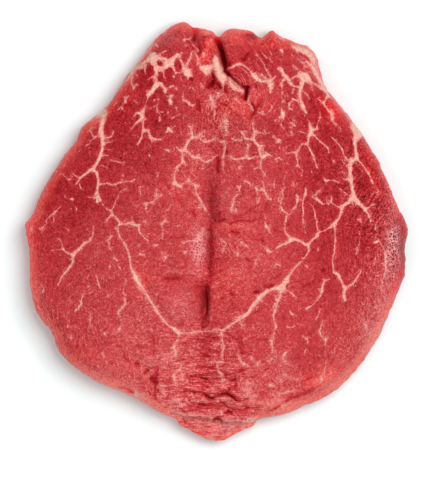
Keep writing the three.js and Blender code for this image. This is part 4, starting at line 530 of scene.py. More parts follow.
# Small cracks, pits and wrinkles: depth, half width, then the points. The depth sets both the cut in the mesh
# and how dark their painted shade is.
SMALL_CREASES = [
    (0.25, 0.35, -25, 23.4, -24.2, 21.9, -23.4, 20.8),
    (0.15, 0.3, -22.5, 20.2, -21.4, 19, -20, 18.6, -18, 17.4, -17, 16, -16.4, 15),
    (0.15, 0.3, -14.2, 13.6, -13.6, 12, -12.8, 10.4, -12, 9), (0.6, 0.5, 0.4, 25.6, 0.6, 24),
    (0.8, 0.6, 0.2, 22.4, 0.6, 21), (0.5, 0.8, -6.5, 45.6, -6.3, 43), (0.6, 0.5, 1.8, 44.8, 3.6, 44),
    (0.5, 0.4, 47.2, 31.8, 47.4, 30.4), (0.5, 0.45, -8.1, 6.8, -7.5, 5.4),
    (0.12, 0.3, -12.8, 10.4, -11.6, 8.7, -10.2, 7.5, -8.8, 6.9), (0.3, 0.35, -5.4, 2.8, -4.6, 2),
    (0.35, 0.3, -2.6, 1.4, -2.3, -2, -2.8, -5, -3.4, -9),
    (0.3, 0.25, -3.4, -9, -2.8, -12, -2.3, -14.5, -1.9, -17.4),
    (0.6, 0.5, -1.3, 5, -0.4, 4, 0.6, 3.4, 1.6, 3.6, 2.8, 4.4), (0.5, 0.4, 0.2, 9.2, 0.3, 8.6),
    (0.5, 0.45, 0.4, 6.9, 1.2, 6.2), (0.12, 0.35, -17, -2, -14, -2.2, -11.6, -1.8),
    (0.25, 0.3, -0.6, -9.6, 1.6, -9.7, 4, -9.4), (0.3, 0.35, 0.8, -14, 2, -13.6),
    (0.3, 0.25, -26.6, -19.2, -25.2, -21.2), (0.25, 0.35, -24.8, -16.4, -24.5, -17),
    (0.25, 0.35, 17.9, 11, 17.5, 9.6, 17.1, 8, 16.9, 6.6),
    (0.2, 0.35, 15, 9.4, 13.4, 8.4, 11.6, 7.4, 10, 6.2, 8.4, 5.4, 6, 5.2),
    (0.15, 0.3, 16.8, 6.8, 14, 6.8, 12.4, 7.2),
    (0.4, 0.4, 4.4, 2.8, 6, 3.2, 7.6, 3.9, 9.4, 4, 11, 3.8, 12.2, 3.5),
    (0.25, 0.35, 12.2, 3.5, 13.6, 4.2, 16, 4.8), (0.6, 0.5, 5.2, 0, 6.4, -0.2, 7.8, -0.5),
    (0.2, 0.35, 12, -2.6, 13.6, -2.8, 15.4, -2.8), (0.5, 0.45, 16, -3.1, 16.3, -3.2),
    (0.4, 0.5, 20.5, 0.4, 20.9, 0.4), (0.2, 0.3, 21.6, 0, 23.2, 0), (0.4, 0.4, 10.6, -9.6, 11.6, -10.3),
    (0.2, 0.3, 12.4, -10.6, 13.4, -10.2), (0.9, 0.6, 13.5, -21.1, 14.5, -21),
    (0.8, 0.6, 18.4, -19.5, 19.5, -18.9), (0.4, 0.4, 16.8, -19.4, 17.4, -18.6),
    (0.5, 0.5, 5.5, -22.2, 5.8, -22.2), (0.3, 0.4, 28, -17.6, 29.4, -17.5),
    (0.3, 0.4, 30.4, -19.4, 31.4, -18.4, 32.4, -18.2, 32.9, -19), (0.5, 0.55, 37.1, -13.7, 37.4, -13.7),
    (0.2, 0.3, 25, -9.4, 27.4, -6.8), (0.3, 0.35, 20.6, -16.4, 21.6, -15.6, 22.4, -14.6),
    (0.3, 0.7, 51, -3.3, 52, -4.6), (0.25, 0.7, 51.2, -6.2, 51.6, -7.2),
    (0.3, 0.4, 48.7, -8.4, 49.1, -10.2, 50, -12.4), (0.3, 0.4, 60.6, 0.6, 62.6, 0.2),
    (0.3, 0.6, -50.4, 2.3, -50, 2.1), (0.2, 0.5, -42.8, -26.2, -42.2, -26.4),
    (0.25, 0.4, -22.4, -36.2, -21.9, -38, -21.8, -39.6), (0.2, 0.35, -22, -41.4, -22, -43),
    (0.35, 0.35, -32.4, -43.6, -31.6, -44.4, -30, -45.6), (0.6, 0.6, -28, -46, -27.6, -46.4),
    (0.3, 0.4, -34.2, -39.9, -33.8, -40.1), (0.4, 0.5, -24.8, -49.2, -24, -48.2),
    (0.9, 0.8, -22.6, -51.4, -21.6, -52.4, -21.2, -53), (0.5, 0.5, -20.4, -48, -20.9, -49, -21.2, -51.8),
    (0.4, 0.45, -21.4, -54, -21.6, -57, -21.2, -58.4), (0.3, 0.4, -34, -54.3, -32, -54.6, -30, -55.6),
    (0.6, 0.6, -29.8, -55.9, -29.4, -56.1), (0.2, 0.4, -24, -55.6, -23, -57),
    (0.25, 0.35, -16.8, -57, -17.6, -58.4), (0.3, 0.35, -16.2, -63.6, -14.4, -63.9),
    (0.1, 0.3, -28, -40, -24, -40.5), (0.3, 0.4, 1.8, -23.8, 2.4, -23), (0.25, 0.35, 5.2, -24.2, 5.6, -25.4),
    (0.3, 0.35, 6, -26.8, 6.6, -26.6), (0.25, 0.3, 13.8, -28.2, 15, -27.4),
    (0.3, 0.35, 4, -36, 5, -36.4, 6.2, -37.2, 7.2, -37.8), (0.25, 0.3, 11, -37.6, 12, -37.4, 13.2, -36.9),
    (0.2, 0.28, 14.4, -37.6, 16, -38, 17, -37.8, 18.6, -37.7), (0.2, 0.25, -0.2, -31.6, 0.2, -32.8),
    (0.25, 0.3, 2, -33.4, 2.6, -33.2), (0.2, 0.3, -12, -31.4, -11.8, -32.8),
    (0.2, 0.25, -5.6, -36.4, -3.6, -36.9, -0.4, -37),
    (0.15, 0.25, -10, -37.4, -6.4, -37.7, -2, -37.9, 0.8, -37.8),
    (0.35, 0.35, -5.8, -38.6, -4, -38.9, -2.2, -39.2), (0.2, 0.25, -7.2, -41, -5, -41.2, -2.6, -41.2),
    (0.35, 0.4, -5.6, -42.4, -4.2, -42.9, -3, -43.2), (0.6, 0.5, -3.4, -43.4, -2.6, -43.8),
    (0.35, 0.3, -5.8, -44.2, -4.6, -44.9), (0.2, 0.25, -2.6, -41, -0.2, -41.6),
    (0.2, 0.25, -6.6, -46.8, -5, -47), (0.5, 0.4, -4, -47, -2.6, -47.7, -1.4, -47.9, 0, -47.9),
    (0.15, 0.25, -8, -45.8, -5, -46.2, -2, -46.4), (0.35, 0.4, -9, -50.8, -7, -50.6, -5.4, -50.9),
    (1.0, 0.4, -5.4, -50.9, -4.2, -51.3, -2.6, -52), (0.35, 0.35, -3.2, -51.8, -1, -51.5, 1.6, -51.3),
    (0.2, 0.25, 3, -49.8, 5, -49.8, 6.6, -49.4), (0.8, 0.35, 5, -52.1, 6.8, -51.5),
    (0.7, 0.6, 8.2, -48.7, 9, -48.5), (0.35, 0.4, 12, -50.9, 13.8, -50.4),
    (0.2, 0.4, 17, -48.2, 18.4, -47.9), (0.35, 0.4, -5, -54.2, -4.6, -54.6),
    (0.5, 0.4, -10.4, -55.4, -8, -56, -5.6, -56.2, -4, -57), (0.35, 0.25, -5.8, -56, -3.3, -57),
    (1.4, 0.4, -4, -57, -2.6, -58, -1, -58.3), (0.8, 0.25, -1, -58.3, 0.6, -57.4, 2, -56.9),
    (1.1, 0.5, 2, -56.8, 3.4, -56.6, 4.8, -57.1), (1.2, 0.4, 4.8, -57.1, 6, -58.1, 7, -59),
    (0.5, 0.25, 7, -59, 9, -59.2, 11.2, -58.4), (0.4, 0.3, -7.6, -60.5, -6, -60.8, -4.2, -60.6, -2.4, -60.9),
    (0.3, 0.25, -7, -61.6, -4.6, -62, -2, -61.8), (0.9, 0.3, 1.4, -59.4, 3, -60.4, 4.2, -61.6),
    (0.6, 0.3, 4.2, -61.6, 6.4, -62, 8.2, -62.2), (0.4, 0.3, 10.6, -61.6, 13, -61.7, 14.8, -61.4),
    (1.2, 0.4, 3.2, -63.4, 4.1, -62.9, 5.2, -63.3), (0.9, 0.3, 10.4, -61.7, 11.3, -61.5),
    (0.8, 0.25, -6, -60.2, -4.6, -60), (0.4, 0.25, -11.4, -66, -11, -67),
    (1.1, 0.35, -1, -65.7, 0.2, -65.2, 1.2, -65.6, 1.9, -66.3), (0.3, 0.25, 18, -63, 20, -61.8, 22, -60.6),
    (0.3, 0.7, 6.8, -53, 6.6, -55), (0.2, 0.8, 8.4, -37, 8.6, -40, 9, -42),
    (0.9, 0.6, -8.9, 53.5, -8.7, 53.3), (0.4, 0.4, -32, 44.2, -31.8, 44),
    (0.5, 0.5, -16.1, 43.9, -15.8, 43.9), (0.6, 0.5, -6.2, 64.4, -5.6, 63.6, -5.6, 62.8, -6.2, 62.2),
    (0.4, 0.4, -9.6, 66.4, -8.8, 65.2, -8, 64), (0.5, 0.5, -7.7, 68.6, -8, 66.8),
    (0.5, 0.6, -8.2, 71, -7.6, 69.8, -6.3, 70.2), (0.4, 0.5, -4.2, 68, -4.6, 66, -4.2, 64.6),
    (0.3, 0.5, -3.6, 68.2, -2, 68.6, -0.6, 67.6), (0.3, 0.4, -2.2, 64, -1.8, 62.6),
    (0.7, 0.4, -1.3, 55, -1.1, 53.8, -0.6, 52.8), (0.9, 0.7, -1.5, 51.8, -1.9, 51.3),
    (0.5, 0.6, -2.4, 51, -3, 50.4), (0.8, 0.5, 0.5, 51.6, 1, 50.9, 1.5, 50.3),
    (0.6, 0.5, 3, 50.6, 3.2, 48.8), (0.3, 0.35, -5.2, 55.2, -5.6, 53.6, -5.8, 52.4),
    (0.6, 0.5, 10.9, 62, 10.2, 60.8, 9.4, 60), (0.4, 0.4, 5, 58, 3.9, 58.3), (0.3, 0.3, 9, 57.7, 9.8, 57.2),
    (0.4, 0.35, 13.5, 51.6, 14, 50.4), (0.5, 0.7, 11, 68.8, 12.4, 68.4, 13.4, 67.6),
    (0.2, 0.3, 5.4, 53.4, 7.2, 51.8, 9.2, 50), (0.12, 0.25, 5, 52.6, 6.4, 51.2, 8.2, 49.6),
    (0.3, 0.35, 30.9, 61.4, 31.5, 60.5, 32.6, 59.8), (0.2, 0.3, 26.2, 57.2, 28, 55.8),
    (0.2, 0.3, 15, 62.4, 16.6, 60.6, 17.8, 58.6), (0.2, 0.25, 5.8, 56.5, 7.6, 56.2, 9, 55.2),
    (0.2, 0.25, 5.8, 55.6, 7.2, 54.8, 8.6, 53.6), (0.2, 0.25, 37.6, -40, 36.9, -42, 36.2, -43),
    (0.5, 0.5, 24.5, -59.3, 25.1, -59), (0.15, 0.6, 25.6, -58.4, 28, -57.6, 31, -56.4, 34, -55),
    (0.4, 0.5, 19.6, -62.6, 22, -61), (0.3, 0.4, 23, -29.7, 23.4, -30.4),
    (0.2, 0.3, 26.6, -45, 27.8, -44, 28.4, -42.4), (0.15, 0.3, 27.6, -45.8, 28.8, -44.8, 29.4, -43),
    (0.2, 0.35, 30.8, -52, 33, -51, 35, -50.2), (0.4, 0.45, -17.6, -16.2, -15.6, -16.5, -13, -16.4),
    (0.3, 0.25, 0.2, 31.8, 1, 30.6, 1.7, 29.6), (0.5, 0.4, 3.6, 28.6, 3.7, 27),
    (0.6, 0.3, 0.5, 43.2, 0.1, 42.1), (0.5, 0.3, -0.2, 37, -0.1, 36), (0.3, 0.25, -0.1, 41.6, 0, 39.4),
    (0.35, 0.35, 1, 34.4, 1.6, 32.8), (0.3, 0.3, -1.6, 38, -2.1, 36.6),
    (0.3, 0.25, -2.8, 30, -1.4, 29.4, -0.6, 28), (0.25, 0.25, -1.8, 30.8, -0.8, 28.6, 0.2, 27.4),
    (0.25, 0.25, 6.6, 41, 8, 40.4), (0.25, 0.3, 4, 39.2, 5.4, 38.8),
]

# The edges of the deepest cuts: depth, half width at the start and at the end, then the points. The depth sets
# both the cut in the mesh and how dark its painted shade is.
DEEP_CUTS = [
    (0.9, 0.9, 0.8, 0.1, 67.5, 0.6, 66, 1.2, 64.6), (1.3, 0.7, 0.9, 1.4, 64.4, 2.1, 62.6, 2.5, 60.6),
    (1.6, 0.9, 0.5, 2.5, 60.6, 2.8, 58.8, 3.1, 57), (1.5, 0.5, 0.65, 2.9, 56.1, 3.7, 55.6, 4.4, 54.9),
    (0.9, 0.22, 0.22, 4.9, 54.4, 7, 52.4, 9.4, 50.2), (1.3, 0.45, 0.4, 9.8, 50.6, 11.3, 50.5),
    (1.3, 0.5, 0.4, 10.5, 50, 10.6, 48.4), (1.2, 0.4, 0.5, 10.6, 48.4, 10.2, 46.4),
    (0.9, 0.3, 0.35, 12.4, 44.7, 13.2, 43.4, 13.6, 42.6), (0.6, 0.3, 0.2, 13.6, 42.4, 13, 41.4, 11.9, 40),
    (0.5, 0.25, 0.15, 13.7, 43, 14.8, 44.6, 16.2, 46), (1.0, 0.2, 0.5, -3.7, -19.6, -3.5, -22, -3.3, -24),
    (1.0, 0.5, 0.4, -3.3, -24, -3.3, -28.6), (0.5, 0.4, 0.3, -3.6, -28.8, -4.6, -31, -4.8, -33.4),
    (0.5, 0.25, 0.25, -6.6, -19.2, -4.6, -19, -2.6, -19.6),
]

# ------------------------------------------------------------------------------------------ shaping the mesh
CELLS_ACROSS = 280
CELLS_ALONG = 292
HEAD_DETAIL = 0.7  # rows lie this much closer together round the cleft
RIM_RINGS = 8
BASE_RINGS = 4
LINE_REACH = 2.4  # lines further off than this leave no mark on a vertex
UNMARKED = 9.0  # distance stored where no line is near
RIM_UNEVENNESS = 0.28  # small nicks and swellings along the rim
WEB_REACH = 3.0  # the higher, the smaller the webs of fat where strands meet


def bell(t):
    """A bell: e to the minus t squared."""
    return np.exp(-t * t)


def mix(a, b, t):
    """The value a share t of the way from a to b."""
    return a + (b - a) * t


def smooth(low, high, t):
    """0 below low and 1 above high, with an S-shaped rise between them."""
    s = np.clip((t - low) / (high - low), 0, 1)
    return s * s * (3 - 2 * s)


def lattice_noise(x, y, size, seed):
    """Smooth noise from -1 to 1: random values on a square lattice of the given size, blended by an S-curve."""
    values = np.random.default_rng(seed).uniform(-1, 1, (256, 256))
    gx, gy = x / size + 1000, y / size + 1000
    ix, iy = np.floor(gx).astype(int), np.floor(gy).astype(int)
    fx, fy = gx - ix, gy - iy
    fx, fy = fx * fx * (3 - 2 * fx), fy * fy * (3 - 2 * fy)

    def corner(i, j):
        return values[(ix + i) % 256, (iy + j) % 256]

    return mix(mix(corner(0, 0), corner(1, 0), fx), mix(corner(0, 1), corner(1, 1), fx), fy)


def curve_through(points, places):
    """Points on the smooth curve through the given ones, at places from 0 to 1 along its length. Between two points
    it is the cubic whose end slopes are half the step between their neighbours."""
    p = np.array(points, float)
    p = np.vstack([p[:1], p, p[-1:]])
    count = len(points) - 1
    t = np.linspace(0, count, count * 60 + 1)
    i = np.minimum(t.astype(int), count - 1)
    w = (t - i)[:, None]
    before, start, end, after = p[i], p[i + 1], p[i + 2], p[i + 3]
    v0, v1 = (end - before) / 2, (after - start) / 2
    line = (2 * start - 2 * end + v0 + v1) * w**3 + (3 * end - 3 * start - 2 * v0 - v1) * w**2 + v0 * w + start
    run = np.concatenate([[0], np.cumsum(np.hypot(*np.diff(line, axis=0).T))])
    wanted = np.asarray(places) * run[-1]
    return np.stack([np.interp(wanted, run, line[:, k]) for k in (0, 1)], axis=-1)


def spread(count, density):
    """Count + 1 places from 0 to 1 that lie closer together where density is high."""
    s = np.linspace(0, 1, 4001)
    run = np.concatenate([[0], np.cumsum((density(s[1:]) + density(s[:-1])) / 2)])
    return np.interp(np.linspace(0, run[-1], count + 1), run, s)


def rim_density(s):
    """Even in the middle and closest at both ends, where the rim turns down."""
    near = np.minimum(s, 1 - s)
    return 1 + 5 * np.exp(-near / 0.01) + 1.5 * np.exp(-near / 0.03)


def plan(u, v):
    """The face in plan: the four edges blended so that the grid follows each of them (a Coons patch)."""
    tail, head = curve_through(TAIL_EDGE, u)[None, :], curve_through(HEAD_EDGE, u)[None, :]
    left, right = curve_through(LEFT_EDGE, v)[:, None], curve_through(RIGHT_EDGE, v)[:, None]
    uu, vv = u[None, :, None], v[:, None, None]
    corners = mix(
        mix(np.array(CORNER_TAIL_LEFT, float), np.array(CORNER_TAIL_RIGHT, float), uu),
        mix(np.array(CORNER_HEAD_LEFT, float), np.array(CORNER_HEAD_RIGHT, float), uu),
        vv,
    )
    return mix(tail, head, vv) + mix(left, right, uu) - corners


def nearest(x, y, path):
    """Distance from each point to a path, and the place along it from 0 to 1."""
    best = np.full(x.shape, np.inf)
    at = np.zeros(x.shape)
    for i, ((ax, ay), (bx, by)) in enumerate(zip(path[:-1], path[1:])):
        dx, dy = bx - ax, by - ay
        t = np.clip(((x - ax) * dx + (y - ay) * dy) / (dx * dx + dy * dy), 0, 1)
        far = np.hypot(x - ax - t * dx, y - ay - t * dy)
        closer = far < best
        best = np.where(closer, far, best)
        at = np.where(closer, (i + t) / (len(path) - 1), at)
    return best, at


def path_of(numbers):
    """A flat run of coordinates as points."""
    return list(zip(numbers[0::2], numbers[1::2]))


def distance_inside(x, y):
    """How far each point lies from the outline."""
    places = np.linspace(0, 1, 71)
    edges = [curve_through(edge, places) for edge in (TAIL_EDGE, HEAD_EDGE, LEFT_EDGE, RIGHT_EDGE)]
    return np.minimum.reduce([nearest(x, y, [tuple(p) for p in edge])[0] for edge in edges])


def rim_share(x, y, inside):
    """Share of the height over the waist: a quarter round, or a straight slope at the lower right."""
    direction = np.arctan2(y - GRID_CENTRE[1], x - GRID_CENTRE[0])
    bevelled = bell((direction - BEVEL_CENTRE) / BEVEL_SPAN)
    round_share = np.sqrt(1 - (1 - np.clip(inside / RIM_ROUND, 0, 1)) ** 2)
    return mix(round_share, smooth(-0.35, 1, inside / RIM_BEVEL), 0.8 * bevelled)


def body_height(x, y, sizes):
    """The slab: crowned halves, lower lobes at the head and a thin tail past its torn edge."""
    half = bell((np.abs(x + 3) - 30) / 26) * bell((y + 8) / 52)
    headed = mix(sizes.body_height / MM + CROWN * half, HEAD_HEIGHT, smooth(44, 68, y))
    tailed = mix(headed, TAIL_HEIGHT + 4.2, smooth(-40, -64, y) * bell(x / 34))
    line_x, line_y = np.array(TAIL_LINE, float).T
    beyond = np.sign(np.interp(x, line_x, line_y) - y) * nearest(x, y, TAIL_LINE)[0]
    step = smooth(-TAIL_LINE_BLUNTNESS, TAIL_LINE_BLUNTNESS, beyond)
    return mix(tailed, TAIL_HEIGHT, step * bell(x / 15))


def large_relief(x, y):
    """Pads less the sag of the hinge less the deepest crease at each point."""
    pads = sum(h * bell((x - px) / sx) * bell((y - py) / sy) for px, py, sx, sy, h in PADS)
    along = smooth(-70, -30, y) * (1 - smooth(30, 60, y))
    sag = HINGE_DEPTH * along * bell((x + 3) / HINGE_WIDTH)
    cut = np.zeros(x.shape)
    for depth, width, *numbers in LARGE_CREASES:
        far, at = nearest(x, y, path_of(numbers))
        taper = 0.45 + 0.55 * np.sin(np.pi * np.clip(at, 0, 1))
        cut = np.maximum(cut, depth * taper * bell(far / width))
    return pads - sag - cut


def line_field(x, y, lines):
    """For each vertex, the line whose edge is nearest: the offset to its middle, its half width there, the true
    distance, the value that the line carries, and the web: how much closer the lines stand together than the
    nearest one alone, from the log of the sum of e to the minus WEB_REACH gaps. Each line is
    (start width, end width, value, points)."""
    gap = np.full(x.shape, UNMARKED)
    off_x, off_y = np.full(x.shape, UNMARKED), np.zeros(x.shape)
    half, value, crowd = np.zeros(x.shape), np.zeros(x.shape), np.zeros(x.shape)
    for start, end, carried, points in lines:
        p = np.array(points, float)
        reach = LINE_REACH + max(start, end) / 2
        low, high = p.min(0) - reach, p.max(0) + reach
        index = np.flatnonzero((x > low[0]) & (x < high[0]) & (y > low[1]) & (y < high[1]))
        if len(index) == 0:
            continue
        px, py = x[index], y[index]
        run = np.concatenate([[0], np.cumsum(np.hypot(*np.diff(p, axis=0).T))])
        own = np.full(px.shape, UNMARKED)
        for k in range(len(p) - 1):
            dx, dy = p[k + 1] - p[k]
            t = np.clip(((px - p[k][0]) * dx + (py - p[k][1]) * dy) / (dx * dx + dy * dy + 1e-9), 0, 1)
            ox, oy = p[k][0] + t * dx - px, p[k][1] + t * dy - py
            share = (run[k] + t * (run[k + 1] - run[k])) / run[-1]
            half_here = mix(start, end, share) / 2
            gap_here = np.hypot(ox, oy) - half_here
            own = np.minimum(own, gap_here)
            closer = gap_here < gap[index]
            hit = index[closer]
            gap[hit] = gap_here[closer]
            off_x[hit], off_y[hit] = ox[closer], oy[closer]
            half[hit], value[hit] = half_here[closer], carried
        crowd[index] += np.exp(-WEB_REACH * own)
    reach = np.where(gap < UNMARKED, gap + half, UNMARKED)
    web = np.where(crowd > 0, np.log(np.maximum(crowd, 1e-9)) / WEB_REACH + gap, 0)
    return np.stack([off_x, off_y, half], axis=-1), reach, value, np.clip(web, 0, 0.6)


# ------------------------------------------------------------------------------------- zones of the cut face
# Each is (x, y, half size across, half size along, strength).
# Darker parts: partly purple meat, partly painted shade in the hinge fold, the slit, the cleft and its grooves, the
# crease left of the hinge and along the down-turned right rim.
DARK_AND_SHADE_ZONES = [
    (-5.4, -22, 1.8, 4.6, 0.5), (0.6, 5.4, 1.7, 1.5, 0.5), (-1, 11, 2, 7, 0.5), (-2, -8, 1.5, 9, 0.8),
    (-1, 53, 1.6, 2, 0.4), (9.6, 47, 1.4, 1.2, 0.6), (12.6, 68.4, 2.4, 1, 0.8), (8, 54, 3.4, 3, 0.15),
    (65.6, -6, 1.8, 13, 0.55), (62, -5, 3, 10, 0.4), (5, 59, 1.6, 1.4, 0.5), (5.4, -21.4, 1, 0.9, 0.7), (-15.4, -16.4, 2.6, 0.7, 0.5),
    (-1.9, -4, 0.9, 8, 0.4),
]
# A pale moist film with a fine net: partly the membrane on the meat, partly painted sheen and glints, on the fold
# beside the hinge, along the right rim and in a few other places.
FILM_AND_SHEEN_ZONES = [
    (-6.2, -5, 2.8, 6.5, 0.85), (-12, -27, 4, 5, 0.35), (61.8, -6, 2.6, 11, 1.0), (58, -24, 4, 9, 0.3),
    (-1.2, 10, 2.6, 8, 0.1), (3.6, 11, 2.6, 6, 0.12), (5, -68.6, 5, 2.4, 0.35),
    (-17.5, 67, 4.5, 3.8, 0.2), (24, -46, 4.5, 4, 0.15),
]
# Orange-red parts: partly the meat's own colour, partly painted light on the rims and on the walls of the cleft.
WARM_AND_LIT_ZONES = [
    (-33, 49, 4, 5, 0.6), (-4.2, 61.4, 2.2, 2.8, 0.7), (-1.4, 66, 2.2, 2.8, 0.6), (-3, 66, 1.6, 3, 0.5), (-26, -16, 2.5, 6, 0.5), (20, 66.5, 7, 2.6, 0.7),
    (40, -52, 8, 4.4, 0.7), (26, -60.5, 9, 2, 0.7), (4.6, 68.6, 4, 2, 0.8), (41.6, 43.6, 4.4, 5, 0.9), (54, 28, 3, 4, 0.6), (61, 13, 1.8, 6, 0.5), (-1.4, -68.6, 2.6, 2, 0.4),
    (-11, 71.4, 4, 1.4, 0.7), (-50, -45, 6, 4, 0.5), (-25, -60, 6, 2.6, 0.6), (56, 22, 3, 8, 0.5),
    (0.5, 41, 4, 6, 0.35), (6, 44, 4, 3, 0.5), (11, 41, 2.4, 4, 0.3), (6, 1.6, 5, 1.8, 0.3), (3, -17, 5, 5, 0.3),
    (-13, 14, 6, 8, 0.2),
]
# The same with the strength of the fine net of cells.
CELL_ZONES = [
    (-22, 34, 24, 22, 1.0), (26, 36, 24, 22, 1.0), (-48, -4, 14, 26, 0.8), (46, 0, 14, 24, 0.8),
    (62, -6, 4, 12, 1.0), (26, -48, 12, 10, 0.6), (-26, -46, 14, 10, 0.5),
]
# Broad lighter (above 0) and darker (below 0) parts of the cut face, with their strength as the last number.
# They are partly the meat's own mottling and partly painted light and shade: lighter on the tail step and the
# cleft walls, darker along the down-turned right rim.
TONE_AND_PAINTED_LIGHT_ZONES = [
    (-34, 34, 9, 15, -0.17), (-50, 18, 10, 16, -0.17), (-58, -4, 10, 18, -0.12), (-20, 37, 6, 9, -0.12),
    (-40, 13, 9, 10, -0.1), (-42, 33, 5, 6, -0.08), (-23, 51, 8, 10, -0.14), (-16, 63, 7, 7, -0.14),
    (-24, 25, 8, 8, -0.07), (15, 60, 11, 6, -0.14), (25, 53, 7, 6, -0.08), (23, 37, 8, 10, -0.08),
    (37, 42, 8, 12, -0.15), (37, 15, 10, 20, -0.18), (53, 22, 8, 18, -0.14), (50, -2, 8, 12, -0.12),
    (36, -8, 8, 12, -0.08), (40, -20, 7, 9, -0.1), (31, -42, 5, 12, -0.06), (63, -8, 4, 12, -0.12),
    (-42, -50, 12, 5, 0.08), (-24, -24, 8, 6, 0.05), (16, -52, 16, 6, 0.04), (54, -38, 5, 10, 0.14),
    (44, 46, 6, 9, 0.12), (34, 60, 5, 6, 0.12), (60, -38, 5, 8, 0.12), (44, -54, 9, 5, 0.1), (-41, 41, 4, 5, 0.15),
    (-30, 57, 4, 6, 0.12), (-38, -56, 10, 4, 0.12), (64, -2, 4, 16, -0.14), (1, 40, 5, 8, 0.06),
    (0, -54, 34, 10, 0.06), (7, -12, 9, 20, 0.06), (5, -26, 5, 5, -0.04), (-14, -14, 7, 1.2, 0.08), (-36, 45, 6, 6, -0.08), (-27, 55, 5, 5, -0.05),
    (-66, 0, 4, 26, -0.04), (65, -8, 3, 12, -0.04), (-5, 5, 4, 5, 0.05), (-5, -8, 3, 6, 0.04), (-20, -45, 9, 5, 0.06),
    (-55, 26, 6, 6, 0.1), (-64, -4, 4, 24, 0.05), (30, -15, 8, 5, 0.05), (15, 30, 5, 8, -0.06), (55, 16, 5, 6, -0.07),
    (45, -45, 5, 5, 0.05), (-17, -64.5, 4, 2.4, 0.2), (-24, 56, 5, 5, -0.05),
    (-1.2, 11, 2.4, 7, -0.1), (0.6, 25, 1, 3.6, -0.16), (3.2, 37.4, 1.4, 2.6, 0.16), (-1.8, 45, 1.4, 2.4, 0.12), (-8, 25, 4, 10, 0.03), 
    (-30, -35, 10, 8, 0.05), (-15, 56, 12, 5, -0.12), (-14, 42, 16, 8, -0.07), (42, 38, 10, 18, -0.06), (0, -68, 15, 4, 0.14), (0, -61, 16, 4, 0.06), (2.2, 62.5, 1.6, 5, 0.14), (-3, -59.3, 4, 0.9, 0.14), (3, -58.5, 2.6, 0.8, 0.18),
    (11.5, -56, 3.6, 5, 0.1), (-24, -60, 12, 3, 0.12), (24, -61, 12, 3, 0.12), (-62, -25, 4, 14, 0.03), (-8, -40, 14, 14, 0.05),
]
# How much narrower than usual the orange-red band along the rim is, which is partly painted light that lifts the rim
# where it turns away from the key light.
NARROW_LIT_RIM_ZONES = [(50, 36, 34, 34, 1.3), (0, -69, 17, 6, 1.6), (8, 70, 26, 8, 0.8), (-24, 60, 12, 16, 0.6)]
# Painted light and shade: broad parts that are brighter (above 0) or dimmer without a change of hue, lifting
# the left rim, the cleft walls and the tail step, and dimming the right rim and the upper right.
PAINTED_LIGHT_AND_SHADE_ZONES = [
    (60, 28, 14, 24, -0.16), (58, -38, 12, 20, -0.12), (0, -67, 18, 6, 0.14), (2.6, 60.5, 1.8, 4.5, 0.35), (5, 66, 6, 4, 0.1),
    (0, 56, 9, 5, 0.22), (15, 45, 5, 4, 0.22), (12, 34, 8, 6, -0.08), (-16, 42, 14, 12, -0.05), 
    (-30, -42, 8, 8, 0.03), (-10, -40, 4, 12, 0.03), (-5, -15, 4, 5, 0.1), (-5, 5, 4, 5, 0.06), (-15, -25, 5, 5, 0.05),
    (-25, -28, 5, 7, -0.05), (65, -6, 3, 14, -0.06), (15, 32, 6, 7, -0.05), (30, -15, 8, 5, 0.05), (36, -45, 5, 5, -0.05), (46, -45, 5, 5, 0.04),
    (-15, -46, 6, 5, 0.04), (25, -35, 6, 5, 0.04),
    (-5, 45, 6, 4, 0.06), (-26, 38, 10, 10, 0.03), (-67, -4, 5, 30, 0.24),
    (-48, -8, 14, 34, -0.08), (-24, 20, 18, 30, -0.06), (0, -54, 30, 9, 0.12), (8, -14, 10, 24, 0.07), (-5, -22, 3, 6, -0.04),
    (1, 42, 6, 7, -0.1), (-1, 11, 2.6, 8, -0.08),
]
# Where the fine texture stands out more or less than usual.
CONTRAST_ZONES = [
    (58, -4, 10, 22, 0.9), (46, 22, 14, 20, 0.4), (-34, 26, 18, 24, 0.2), (-3, -10, 9, 14, 0.3),
    (-3, -48, 12, 14, 0.25), (-60, -10, 8, 30, 0.1), (-40, -46, 18, 8, -0.1), (4, 58, 16, 12, 0.3),
    (0, -68, 14, 5, -0.2), (7, 63.6, 5, 3.6, -0.45), (40, -50, 12, 8, -0.15), (1, 41, 6, 8, 0.5),
]
# The same with the strength of the wrinkles, which run across the hinge.
WRINKLE_ZONES = [
    (-3, -45, 9, 13, 1.0), (-3, -60, 17, 7, 0.8), (3, -11, 9, 8, 0.5), (-3, 12, 8, 6, 0.3), (13, -52, 8, 5, 0.4),
]
# Direction of the fibres in degrees from +X, at places on the face: (x, y, degrees, strength).
FIBRES = [
    (-3, -44, -4, 1.6), (-3, -30, 0, 0.7), (-3, -58, -6, 1.6), (-46, -38, 100, 0.9), (-27, -40, 5, 0.5),
    (-52, 10, 110, 0.5), (-30, 20, 60, 0.4), (-16, 60, 40, 0.6), (-28, 50, 55, 0.5), (18, 60, -55, 0.9),
    (28, 57, -40, 0.8), (40, 42, -55, 0.8), (48, 24, 60, 1.0), (55, 8, 52, 1.3), (50, -14, 108, 0.9), (34, 20, -70, 0.4),
    (46, -30, -80, 0.6), (30, -48, 60, 0.5), (16, -40, 20, 0.4), (10, -10, 20, 0.3), (-14, -12, 10, 0.4),
    (0, 20, 90, 0.4), (8, 54, -40, 1.0), (40, -8, 80, 0.4), (-40, -6, 90, 0.4), (10, 34, 70, 0.5),
    (1, 42, 88, 1.2),
]
FIBRE_REACH = 13.0
FIBRE_TURNS = 6


def zone_sum(x, y, zones):
    """Bells added up."""
    return sum(s * bell((x - zx) / rx) * bell((y - zy) / ry) for zx, zy, rx, ry, s in zones)


